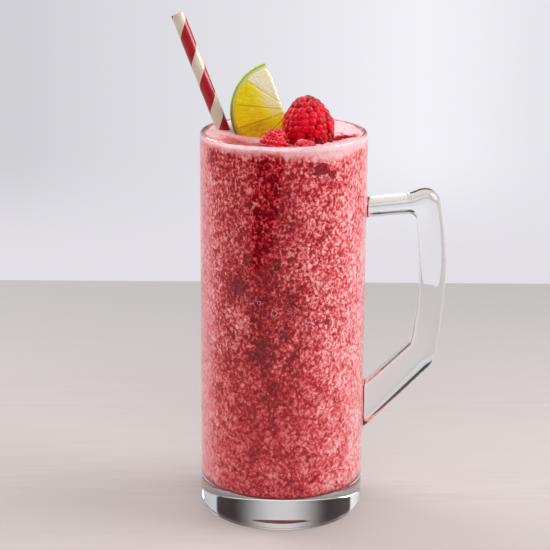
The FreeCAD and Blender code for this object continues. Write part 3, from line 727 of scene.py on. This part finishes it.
def make_bubbles():
    """Round bubbles: a pale ring of froth about a dark wet dome."""
    ring, tree, surface = new_material("bubble_froth", 0.35, Specular_IOR_Level=0.3)
    mottled(tree, surface, (226, 140, 150), (204, 84, 98), 1.0, 0.4, 0.2)
    dome, tree, surface = new_material("bubble_juice", 0.12, Specular_IOR_Level=0.4)
    mottled(tree, surface, (120, 2, 16), (88, 0, 8), 1.2, 0.5, 0.1)
    chance = random.Random(8)
    bubbles = list(BUBBLES)
    for _ in range(STRAY_BUBBLES):
        bubbles.append((hidden_bearing(chance), chance.uniform(40, 168), chance.uniform(0.35, 1.1)))
    shape = bmesh.new()
    for bearing, height, radius in bubbles:
        hoop = bmesh.new()
        start = bmesh.ops.create_circle(hoop, segments=5, radius=0.22)
        bmesh.ops.rotate(hoop, verts=start["verts"], cent=(0, 0, 0),
                         matrix=Matrix.Rotation(math.pi / 2, 3, "X"))
        bmesh.ops.translate(hoop, verts=start["verts"], vec=(0.84, 0, 0))
        spin_round(hoop, hoop.verts[:] + hoop.edges[:], 12)
        for vert in bmesh.ops.create_icosphere(hoop, subdivisions=2, radius=0.72)["verts"]:
            for face in vert.link_faces:
                face.material_index = 1
        for vert in hoop.verts:
            x, y, z = vert.co
            vert.co = on_wall(bearing, height, radius * x, STAND + 0.4 * (z - 0.2), radius * y)
        kept = bpy.data.meshes.new("hoop")
        hoop.to_mesh(kept)
        hoop.free()
        shape.from_mesh(kept)
        bpy.data.meshes.remove(kept)
    bubbles = new_piece("air_bubbles", shape, ring, dome)
    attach(bubbles, "root")


def make_seeds():
    """Small golden seeds, each turned its own way."""
    material, tree, surface = new_material("berry_seed", 0.4)
    mottled(tree, surface, (222, 136, 72), (190, 80, 42), 0.7, 0.3, 0.4)
    chance = random.Random(3)
    seeds = list(SEEDS)
    for _ in range(STRAY_SEEDS):
        seeds.append((chance.uniform(-180, 180), chance.uniform(22, 160)))
    shape = bmesh.new()
    for bearing, height in seeds:
        size = chance.uniform(0.75, 1.15)
        turn = Matrix.Rotation(chance.uniform(0, math.pi), 3, "Y")
        for vert in add_ball(shape, 2):
            across, out, up = turn @ Vector((0.62 * vert.co.x, 0.3 * vert.co.y, 0.4 * vert.co.z)) * size
            vert.co = on_wall(bearing, height, across, out + STAND - 0.2, up)
    bmesh.ops.recalc_face_normals(shape, faces=shape.faces)
    seeds = new_piece("berry_seeds", shape, material)
    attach(seeds, "root")


def make_crumbs():
    """Loose crumbs of ice on the top, thickest beside the cleft and along the front of the rim."""
    material, tree, surface = new_material("ice_crumb", 0.3, Specular_IOR_Level=0.4)
    tone = ramp_of(tree, written(tree, "tone"), *CRUMB_TONES)
    tree.links.new(tone, surface.inputs["Base Color"])
    scatter_under(surface, 0.4, (1.0, 0.6, 0.6), 1.0)
    chance = random.Random(21)
    shape = bmesh.new()
    layer = shape.verts.layers.float.new("tone")
    for _ in range(CRUMBS):
        radius = (inner_radius - 0.8) * math.sqrt(chance.random())
        turn = chance.uniform(-math.pi, math.pi)
        x, y = radius * math.cos(turn), radius * math.sin(turn)
        near = max(beside_line(x, y, CREVICE, 5.0), 0.9 * smoothstep(-22, -31, y),
                   0.3 * smoothstep(-6, 20, x))
        size = chance.uniform(0.22, 0.6)
        # Crumbs in the cleft are darker, soaked with juice and in painted shade.
        tone = chance.uniform(0.3, 1.0) - 0.6 * beside_line(x, y, CREVICE, 2.2)
        if chance.random() > near + 0.05:
            continue
        squash = Vector((chance.uniform(0.7, 1.3), chance.uniform(0.7, 1.2), chance.uniform(0.5, 0.9)))
        squash *= size
        middle = Vector((x, y, top_height(x, y) + 0.25 * size))
        for vert in add_ball(shape, 1):
            vert[layer] = tone
            vert.co = (middle + vert.co * (1 + 0.4 * noise.noise(vert.co * 2 + middle)) * squash) * MM
    crumbs = new_piece("ice_crumbs", shape, material)
    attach(crumbs, "root")


make_fruit_bits()
make_bubbles()
make_seeds()
make_crumbs()

# ---------------------------------------------------------------- paper straw
# Three plies of paper strip wound in a right-handed spiral and glued. The outer strip is printed
# half red, and its edges stand up as fine seams.

STRAW_RADIUS = 3.1
STRAW_WALL = 0.45
# The rise of the spiral in one turn, the share of a turn that is red, and where the first red starts.
STRAW_PITCH = 22.8
STRAW_RED = 0.58
STRAW_PHASE = -0.04
# The seams: how high they stand, and the share of a turn at which the ply beneath shows its edge.
SEAM_HEIGHT = 0.06
PLY_SEAM = 0.79
STRAW_COLUMNS = 66
STRAW_ROW = 0.8
WHITE_PAPER = ((214, 202, 184), (206, 192, 172))
RED_PAPER = ((170, 10, 34), (156, 4, 26))


def axis_of(name):
    """The ends of a CAD tube's axis: the middles of its low ring of points and of its high ring."""
    points = [vert.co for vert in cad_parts[name].data.vertices]
    middle = sum(point.z for point in points) / len(points)
    rings = [[point for point in points if (point.z > middle) == high] for high in (False, True)]
    return [sum(ring, Vector()) / len(ring) / MM for ring in rings]


def make_paper(name, light, dark):
    """Printed paper under a thin coat of wax."""
    material, tree, surface = new_material(name, 0.3, Coat_Weight=0.3, Coat_Roughness=0.16)
    mottled(tree, surface, light, dark, 4.0, 0.4, 0.12)
    return material


def make_straw():
    """Spins the tube, steps it at its seams, thickens it and twists it, so that the strips wind."""
    foot, head = axis_of("straw")
    length = (head - foot).length
    rows = round(length / STRAW_ROW)
    shape = bmesh.new()
    chain = [shape.verts.new(Vector((STRAW_RADIUS, 0, length * i / rows)) * MM) for i in range(rows + 1)]
    edges = [shape.edges.new(pair) for pair in zip(chain, chain[1:])]
    spin_round(shape, chain + edges, STRAW_COLUMNS)
    for face in shape.faces:
        middle = face.calc_center_median()
        share = (math.atan2(middle.y, middle.x) / (2 * math.pi)) % 1.0
        face.material_index = 1 if share < STRAW_RED else 0
    outside = shape.faces[:]
    for vert in shape.verts:
        share = (math.atan2(vert.co.y, vert.co.x) / (2 * math.pi)) % 1.0
        seam = min(share, (share - STRAW_RED) % 1.0)
        ply = (share - PLY_SEAM) % 1.0
        step = SEAM_HEIGHT * max(1 - 9 * seam, 0) + 0.5 * SEAM_HEIGHT * max(1 - 12 * ply, 0)
        grown = (STRAW_RADIUS - SEAM_HEIGHT + step) / STRAW_RADIUS
        vert.co.x *= grown
        vert.co.y *= grown
    bmesh.ops.solidify(shape, geom=outside, thickness=STRAW_WALL * MM)
    for vert in shape.verts:
        twist = 2 * math.pi * (vert.co.z / MM / STRAW_PITCH + STRAW_PHASE)
        vert.co = Matrix.Rotation(twist, 3, "Z") @ vert.co
    place = Matrix.Translation(foot * MM) @ (head - foot).to_track_quat("Z", "Y").to_matrix().to_4x4()
    bmesh.ops.transform(shape, matrix=place, verts=shape.verts)
    white = make_paper("white_paper", *WHITE_PAPER)
    red = make_paper("red_paper", *RED_PAPER)
    straw = new_piece("paper_straw", shape, white, red)
    straw.data.set_sharp_from_angle(angle=math.radians(50))
    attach(straw, "root")
    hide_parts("straw")


make_straw()

# ---------------------------------------------------------------- lime wedge
# A wedge cut across a lime, with its lower end pushed into the slush: oily green zest, cream pith,
# and on both cut faces the plump juice sacs of each segment between thin membranes.

# The lime's radius, how far off its middle the wedge is cut, and the angle between its cut faces.
LIME_RADIUS = 23.8
LIME_CUT_OFFSET = 1.2
LIME_OPENING = 40.0
# How the wedge stands: its lean to the left, its turn, and its place over the rim and to the back.
LIME_LEAN = 21.8
LIME_TURN = 12.0
LIME_RISE = 7.75
LIME_BACK = 1.5
# How thick core, zest and pith are, and how many degrees pith and flesh lie behind the rind's cut.
LIME_CORE = 4.0
ZEST = 1.1
PITH = 1.1
FACE_RECESS = 0.6
# The bearings of the membranes on a cut face, and how pale the segment between each two is, painted light
# that shines through the thin flesh.
MEMBRANES = (101.0, 127.9, 156.0, 179.7, 205.0, 231.0, 258.0)
SEGMENT_BACKLIGHT = (0.84, 0.40, 0.30, 0.10, 0.08, 0.08)
GLINT_DROPLETS = 34
# How many juice sacs lie side by side in a radian of the cut face, and how long one is.
SACS_ACROSS = 12.0
SAC_LENGTH = 5.6
# How finely the zest and the pith are drawn along their arcs and turned between the cut faces.
ZEST_STEPS = 170
ZEST_TURNS = 40
PITH_STEPS = 120
PITH_TURNS = 14
# Tones from the foot to the top, with painted shade towards the foot, and those of the flesh from deep to
# pale, painted light where it shines through thin flesh.
ZEST_SHADE_TONES = ((0.0, (104, 100, 10)), (0.3, (122, 142, 10)), (0.6, (156, 196, 16)), (1.0, (176, 208, 30)))
PITH_SHADE_TONES = ((0.0, (186, 150, 24)), (0.4, (226, 204, 96)), (1.0, (244, 234, 190)))
FLESH_LIGHT_TONES = (
    (0.0, (204, 156, 0)), (0.2, (232, 202, 0)), (0.4, (242, 226, 0)),
    (0.6, (248, 242, 96)), (0.8, (248, 246, 170)), (1.0, (250, 250, 210)),
)
lime_place = (
    Matrix.Translation(Vector((0, LIME_BACK, rim_height + LIME_RISE)) * MM)
    @ Matrix.Rotation(math.radians(-LIME_TURN), 4, "Z")
    @ Matrix.Rotation(math.radians(-LIME_LEAN), 4, "Y")
)


def lime_arc(radius, steps):
    """Points of a round of the lime in the plane of a cut face, from tip to tip."""
    half = math.acos(LIME_CUT_OFFSET / radius)
    turns = [half + (2 * math.pi - 2 * half) * i / steps for i in range(steps + 1)]
    middle = Vector((-LIME_CUT_OFFSET, 0, 0))
    return [middle + Vector((radius * math.cos(turn), 0, radius * math.sin(turn))) for turn in turns]


def spin_wedge(shape, first, opening, steps):
    """Turns the outline that the bmesh holds about the cut edge into a solid."""
    start = Matrix.Rotation(math.radians(-first), 3, "Z")
    bmesh.ops.rotate(shape, verts=shape.verts, cent=(0, 0, 0), matrix=start)
    bmesh.ops.spin(shape, geom=shape.verts[:] + shape.edges[:] + shape.faces[:], cent=(0, 0, 0),
                   axis=(0, 0, -1), dvec=(0, 0, 0), angle=math.radians(opening), steps=steps,
                   use_merge=False, use_duplicate=False)
    bmesh.ops.remove_doubles(shape, verts=shape.verts, dist=0.005 * MM)
    bmesh.ops.recalc_face_normals(shape, faces=shape.faces)


def make_zest_finish():
    """Bright green skin, with painted shade darker and browner towards the foot, pricked all over with oil
    glands.
    """
    material, tree, surface = new_material("lime_zest", 0.32, Coat_Weight=0.25, Coat_Roughness=0.25)
    point = object_point(tree)
    cloud = noise_at(tree, point, 5.0, detail=3.0)
    # Painted shade: the skin darkens and browns towards the foot.
    level = swayed(tree, spread(tree, height_of(tree, point), 0.172, 0.204), cloud, 0.3)
    tone = ramp_of(tree, level, *ZEST_SHADE_TONES)
    cells = add_node(tree, "TexVoronoi", {"Vector": point, "Scale": 900.0}, feature="F1")
    pores = spread(tree, cells.outputs["Distance"], 0.0, 0.5)
    tree.links.new(tone, surface.inputs["Base Color"])
    raised(tree, surface, pores, 0.4, 0.1)
    scatter_under(surface, 0.15, (0.6, 1.0, 0.2), 1.0)
    return material


def make_zest():
    """The rind's green skin, with its oil glands as dimples."""
    shape = bmesh.new()
    rings = [[shape.verts.new(point * MM) for point in lime_arc(radius, ZEST_STEPS)]
             for radius in (LIME_RADIUS, LIME_RADIUS - ZEST)]
    for i in range(ZEST_STEPS):
        shape.faces.new((rings[0][i], rings[0][i + 1], rings[1][i + 1], rings[1][i]))
    spin_wedge(shape, 0.0, LIME_OPENING, ZEST_TURNS)
    for vert in shape.verts:
        across = math.hypot(vert.co.x, vert.co.y)
        out = Vector((across - LIME_CUT_OFFSET * MM, vert.co.z))
        if out.length > (LIME_RADIUS - 0.3) * MM:
            turn = math.degrees(math.atan2(vert.co.y, -vert.co.x))
            near = noise.voronoi(vert.co / MM / 1.1)[0][0]
            worn = 0.13 * (1 - smoothstep(0.05, 0.45, near))
            edge = min(turn, LIME_OPENING - turn) * across / MM * math.pi / 180
            worn += 0.35 * max(1 - edge / 0.7, 0.0) ** 2
            vert.co *= 1 - worn / LIME_RADIUS
    bmesh.ops.transform(shape, matrix=lime_place, verts=shape.verts)
    zest = new_piece("lime_zest", shape, make_zest_finish())
    zest.data.set_sharp_from_angle(angle=math.radians(50))
    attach(zest, "root")
    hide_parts("lime_wedge")


def make_pith():
    """The cream pith and the membranes, which stand behind and between the juice sacs."""
    material, tree, surface = new_material("lime_pith", 0.45, Specular_IOR_Level=0.3)
    point = object_point(tree)
    cloud = noise_at(tree, point, 1.2, detail=4.0)
    # Painted shade: the pith darkens towards the foot.
    level = swayed(tree, spread(tree, height_of(tree, point), 0.172, 0.212), cloud, 0.35)
    tone = ramp_of(tree, level, *PITH_SHADE_TONES)
    tree.links.new(tone, surface.inputs["Base Color"])
    raised(tree, surface, cloud, 0.3, 0.3)
    scatter_under(surface, 0.35, (1.0, 0.9, 0.3), 1.5)
    shape = bmesh.new()
    shape.faces.new([shape.verts.new(point * MM) for point in lime_arc(LIME_RADIUS - ZEST, PITH_STEPS)])
    spin_wedge(shape, FACE_RECESS, LIME_OPENING - 2 * FACE_RECESS, PITH_TURNS)
    bmesh.ops.transform(shape, matrix=lime_place, verts=shape.verts)
    pith = new_piece("lime_pith", shape, material)
    pith.data.set_sharp_from_angle(angle=math.radians(30))
    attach(pith, "root")


def make_flesh_finish():
    """Clear yellow juice sacs, with painted light paler towards the cut edge and the top, where light
    shines through thin flesh.
    """
    material, tree, surface = new_material("lime_flesh", 0.2, Coat_Weight=0.2, Coat_Roughness=0.1)
    point = object_point(tree)
    cloud = noise_at(tree, point, 1.5, detail=3.0)
    tone = ramp_of(tree, swayed(tree, written(tree, "transmitted_light"), cloud, 0.22), *FLESH_LIGHT_TONES)
    tree.links.new(tone, surface.inputs["Base Color"])
    surface.inputs["Specular IOR Level"].default_value = 0.25
    fine = noise_at(tree, point, 0.35, detail=2.0)
    raised(tree, surface, fine, 0.1, 0.2)
    scatter_under(surface, 0.3, (1.0, 0.85, 0.1), 2.0)
    return material


def flesh_point(share_turn, share_out, first, last):
    """A place in a segment, in the plane of a cut face: from membrane to membrane and core to pith."""
    turn = math.radians(first + (last - first) * share_turn)
    cosine = math.cos(turn)
    inside = (LIME_CORE - 0.1) / abs(cosine)
    out = LIME_RADIUS - ZEST - PITH
    middle = LIME_CORE + LIME_CUT_OFFSET
    outside = -middle * cosine + math.sqrt(max((middle * cosine) ** 2 - middle ** 2 + out ** 2, 0.0))
    outside -= 0.5 * abs(2 * share_turn - 1) ** 8
    reach = inside + max(outside - inside, 0.05) * share_out
    return reach, turn, Vector((LIME_CORE + reach * cosine, 0, reach * math.sin(turn)))


def add_segment(shape, layer, first, last, turned, side, backlight, seed):
    """One segment's sacs on one cut face: a plump pad, combed with ridges that run to the core."""
    margin = 0.3
    made = bmesh.ops.create_grid(shape, x_segments=56, y_segments=72, size=1.0)["verts"]
    about = Matrix.Rotation(math.radians(-turned), 3, "Z")
    for vert in made:
        u, v = (vert.co.x + 1) / 2, (vert.co.y + 1) / 2
        reach, turn, place = flesh_point(u, v, first + margin, last - margin)
        sac = Vector((turn * SACS_ACROSS, reach / SAC_LENGTH + 0.3 * math.sin(9 * turn), seed))
        near = noise.voronoi(sac)[0]
        ridge = smoothstep(0.0, 0.3, near[1] - near[0])
        edge = (1 - abs(2 * u - 1) ** 14) * (1 - abs(2 * v - 1) ** 20)
        swell = edge * (0.46 + 0.12 * ridge + 0.1 * noise.noise(place / 2.0))
        vert.co = about @ (place + Vector((0, side * swell, 0))) * MM
        # Painted light shining through the thin flesh near the cut edge and high up, and painted shade in
        # the grooves between sacs.
        light_near_cut = smoothstep(12.0, 2.0, -place.x)
        high = smoothstep(-6.0, 8.0, place.z)
        vert[layer] = backlight + (0.3 + 0.4 * high) * light_near_cut * (1 - 0.5 * backlight) - 0.07 * (1 - ridge)


def make_flesh():
    """The segments of both cut faces."""
    shape = bmesh.new()
    layer = shape.verts.layers.float.new("transmitted_light")
    for turned, side in ((FACE_RECESS, -1), (LIME_OPENING - FACE_RECESS, 1)):
        for i, (first, last) in enumerate(zip(MEMBRANES, MEMBRANES[1:])):
            add_segment(shape, layer, first, last, turned, side, SEGMENT_BACKLIGHT[i], 10 * i + turned)
    bmesh.ops.transform(shape, matrix=lime_place, verts=shape.verts)
    flesh = new_piece("lime_flesh", shape, make_flesh_finish())
    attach(flesh, "root")


def make_glint_droplets():
    """Specks of splashed juice that stand on the near cut face, pale as painted glints."""
    material, tree, surface = new_material("juice_droplet_glint", 0.08, Specular_IOR_Level=0.6)
    # Painted glints: the specks are near white.
    mottled(tree, surface, (252, 246, 214), (240, 226, 150), 1.0, 0.4, 0.0)
    chance = random.Random(14)
    about = Matrix.Rotation(math.radians(-FACE_RECESS), 3, "Z")
    shape = bmesh.new()
    for _ in range(GLINT_DROPLETS):
        radius = chance.uniform(0.12, 0.34)
        first = chance.uniform(125, 205)
        middle = flesh_point(0.5, chance.uniform(0.15, 0.95), first, first)[2]
        for vert in bmesh.ops.create_icosphere(shape, subdivisions=2, radius=radius)["verts"]:
            vert.co = about @ (middle + Vector((vert.co.x, 0.8 * vert.co.y - 0.55, vert.co.z))) * MM
    bmesh.ops.transform(shape, matrix=lime_place, verts=shape.verts)
    glint_droplets = new_piece("lime_droplet_glints", shape, material)
    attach(glint_droplets, "root")


make_zest()
make_pith()
make_flesh()
make_glint_droplets()

# ---------------------------------------------------------------- berries
# Red berries, each a cone of glossy drupelets grown round a core, with a dry brown hair left on
# many of them. The large one has a crease where two rows have grown apart.

# Radius, height, drupelet radius, place as a share of the inner radius, rise over the rim, lean,
# and how blunt the tip is.
BERRIES = {
    "large_berry": (12.0, 22.3, 2.05, (0.329, -0.265), -5.2, (6.0, -2.0), 1.75),
    "left_berry": (7.6, 15.5, 1.5, (-0.146, -0.615), -10.4, (-8.0, -12.0), 1.9),
    "front_berry": (6.9, 12.6, 1.45, (0.296, -0.735), -11.5, (10.0, 4.0), 2.6),
}
# Where the crease lies, and how far apart drupelets and their rings lie, in drupelet radii.
CREASE_BEARING = -38.0
CREASE_WIDTH = 1.2
ROW_PITCH = 1.56
RING_PITCH = 1.28
# How far inside the berry's outline a drupelet's middle lies, in drupelet radii.
SEAT = 0.95
HAIRY_SHARE = 0.4
BERRY_TONES = ((0.0, (84, 0, 6)), (0.3, (150, 0, 14)), (0.6, (204, 0, 26)), (1.0, (226, 8, 44)))
# Pale frost on the drupelets, which is a painted highlight as well.
BLOOM_AND_HIGHLIGHT = (246, 176, 184)


def berry_reach(level, height, blunt):
    """The share of a berry's radius that it has at a level above its stem end."""
    widest = 0.40 * height
    if level < widest:
        return 1 - 0.14 * ((widest - level) / widest) ** 2
    share = min((level - widest) / (height - widest), 1.0)
    return (1 - share ** blunt) ** 0.64


def make_berry_finish():
    """Thin crimson skin over clear juice, with a pale bloom of frost and painted highlight where drupelets
    stand free.
    """
    material, tree, surface = new_material("berry_skin", 0.24, Coat_Weight=0.1, Coat_Roughness=0.06,
                                           Specular_IOR_Level=0.12)
    point = object_point(tree)
    cloud = noise_at(tree, point, 1.4, detail=2.0)
    colour = ramp_of(tree, swayed(tree, written(tree, "tone"), cloud, 0.3), *BERRY_TONES)
    patchy = spread(tree, noise_at(tree, point, 0.6), 0.3, 0.6, 0.5, 1.0)
    highlight_frost = maths(tree, "MULTIPLY", written(tree, "bloom_and_highlight"), patchy)
    tree.links.new(mixed(tree, highlight_frost, colour, paint(*BLOOM_AND_HIGHLIGHT)), surface.inputs["Base Color"])
    scatter_under(surface, 0.15, (1.0, 0.1, 0.1), 1.2)
    surface.inputs["Sheen Weight"].default_value = 0.05
    surface.inputs["Sheen Roughness"].default_value = 0.3
    surface.inputs["Sheen Tint"].default_value = (1.0, 0.72, 0.76, 1.0)
    return material


def add_drupelet(shape, layers, middle, out, size, tone, frosted_highlight, chance):
    """One drupelet: a flattened ball, with painted shade where it meets its neighbours and pale frost with
    a painted highlight near its brow.
    """
    facing = out.to_track_quat("Z", "Y").to_matrix()
    swell = Vector((chance.uniform(1.0, 1.14), chance.uniform(1.04, 1.26), 0.84)) * size
    up = facing.transposed() @ Vector((0, 0, 1))
    for vert in add_ball(shape, 2):
        lump = 1 + 0.05 * noise.noise(vert.co * 1.5 + middle)
        lit_brow = smoothstep(0.25, 0.7, vert.co.dot(up)) * smoothstep(0.1, 0.45, vert.co.z)
        lit_brow *= 1 - smoothstep(0.6, 0.9, vert.co.z)
        # Painted shade low on the drupelet, where it meets its neighbours.
        vert[layers[0]] = tone - 0.55 * (1 - smoothstep(0.0, 0.8, vert.co.z))
        vert[layers[1]] = frosted_highlight * lit_brow
        vert.co = (middle + facing @ (vert.co * lump * swell)) * MM


def make_berry(name, skin, hair, chance):
    """A berry's core, its rings of drupelets from the stem end to the tip, and their hairs."""
    radius, height, drupelet, (share_x, share_y), rise, (left, forward), blunt = BERRIES[name]
    lean = Matrix.Rotation(math.radians(-left), 4, "Y") @ Matrix.Rotation(math.radians(forward), 4, "X")
    place = Vector((share_x * inner_radius, share_y * inner_radius, rim_height + rise)) * MM
    place = Matrix.Translation(place) @ lean
    shape = bmesh.new()
    layers = [shape.verts.layers.float.new(label) for label in ("tone", "bloom_and_highlight")]
    hairs = bmesh.new()
    wide = radius - SEAT * drupelet
    for vert in bmesh.ops.create_uvsphere(shape, u_segments=32, v_segments=20, radius=1.0)["verts"]:
        up = (vert.co.z + 1) / 2 * (height - 1.5 * drupelet) + 0.4
        vert.co = Vector((vert.co.x * wide, vert.co.y * wide, up)) * MM
        vert[layers[0]] = 0.25
    level, ring = 0.8 * drupelet, 0
    while level < height - 0.5 * drupelet:
        reach = wide * berry_reach(level, height - 0.25 * drupelet, blunt)
        ahead = wide * berry_reach(level + 0.5, height - 0.25 * drupelet, blunt)
        slope = min(max((reach - ahead) / 0.5, -0.3), 6.0)
        count = max(round(2 * math.pi * reach / (ROW_PITCH * drupelet)), 1)
        for i in range(count):
            turn = 2 * math.pi * (i + 0.5 * (ring % 2) + chance.uniform(-0.16, 0.16)) / count
            crease = 0.0
            if name == "large_berry":
                off = (math.degrees(turn) - CREASE_BEARING + 180) % 360 - 180
                crease = math.exp(-(math.radians(off) * reach / CREASE_WIDTH) ** 2)
            size = drupelet * chance.uniform(0.84, 1.12) * (1 - 0.25 * crease)
            out = Vector((math.cos(turn), math.sin(turn), slope)).normalized()
            up = level + chance.uniform(-0.3, 0.3)
            middle = Vector((reach * math.cos(turn), reach * math.sin(turn), up))
            middle -= out * (crease + chance.uniform(0.0, 0.35))
            # Frost with a painted highlight: on every drupelet of the small berries, and only on the upper
            # rings of the large one.
            frosted_highlight = chance.uniform(0.2, 0.6) * (1.6 if radius < 9 else smoothstep(11.0, 20.0, level))
            # A random tone per drupelet, with painted shade darker towards the stem end, low in the slush,
            # and a little darker near the tip.
            tone_and_shade = chance.uniform(0.5, 1.0) - 0.55 * smoothstep(10.0, 1.0, level)
            tone_and_shade -= 0.2 * smoothstep(16.0, 20.0, level)
            add_drupelet(shape, layers, middle, out, size, tone_and_shade, frosted_highlight, chance)
            if chance.random() < HAIRY_SHARE:
                add_hair(hairs, middle + out * size * 0.85, out, chance)
        level += RING_PITCH * drupelet / math.hypot(1, min(slope, 2.5))
        ring += 1
    tip = Vector((0, 0, height - SEAT * drupelet))
    upright = Vector((0.05, 0, 1)).normalized()
    add_drupelet(shape, layers, tip, upright, 1.2 * drupelet, 0.9, 0.3, chance)
    bmesh.ops.remove_doubles(hairs, verts=hairs.verts, dist=0.003 * MM)
    for made in (shape, hairs):
        bmesh.ops.transform(made, matrix=place, verts=made.verts)
    berry = new_piece(name + "_drupelets", shape, skin)
    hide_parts(name)
    hair_piece = new_piece(name + "_hairs", hairs, hair)
    for piece in (berry, hair_piece):
        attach(piece, "root")


def add_hair(shape, root, out, chance):
    """A dry thread that curls over from the top of a drupelet."""
    length = chance.uniform(0.8, 1.8)
    aside = out.orthogonal().normalized()
    aside.rotate(Matrix.Rotation(chance.uniform(0, 2 * math.pi), 3, out))
    facing = out.to_track_quat("Z", "Y").to_matrix()
    for vert in bmesh.ops.create_grid(shape, x_segments=4, y_segments=5, size=1.0)["verts"]:
        turn, along = math.pi * vert.co.x, (vert.co.y + 1) / 2
        bent = out * (along - 0.45 * along ** 2) * length + aside * 0.75 * along ** 2 * length
        thick = 0.045 * (1 - 0.8 * along)
        vert.co = (root + bent + facing @ Vector((thick * math.cos(turn), thick * math.sin(turn), 0))) * MM


def make_berries():
    """The three berries, which share their skin and their hair."""
    chance = random.Random(11)
    skin = make_berry_finish()
    hair, tree, surface = new_material("berry_hair", 0.6)
    mottled(tree, surface, (222, 170, 120), (150, 84, 44), 1.0, 0.3, 0.1)
    for name in BERRIES:
        make_berry(name, skin, hair, chance)


make_berries()
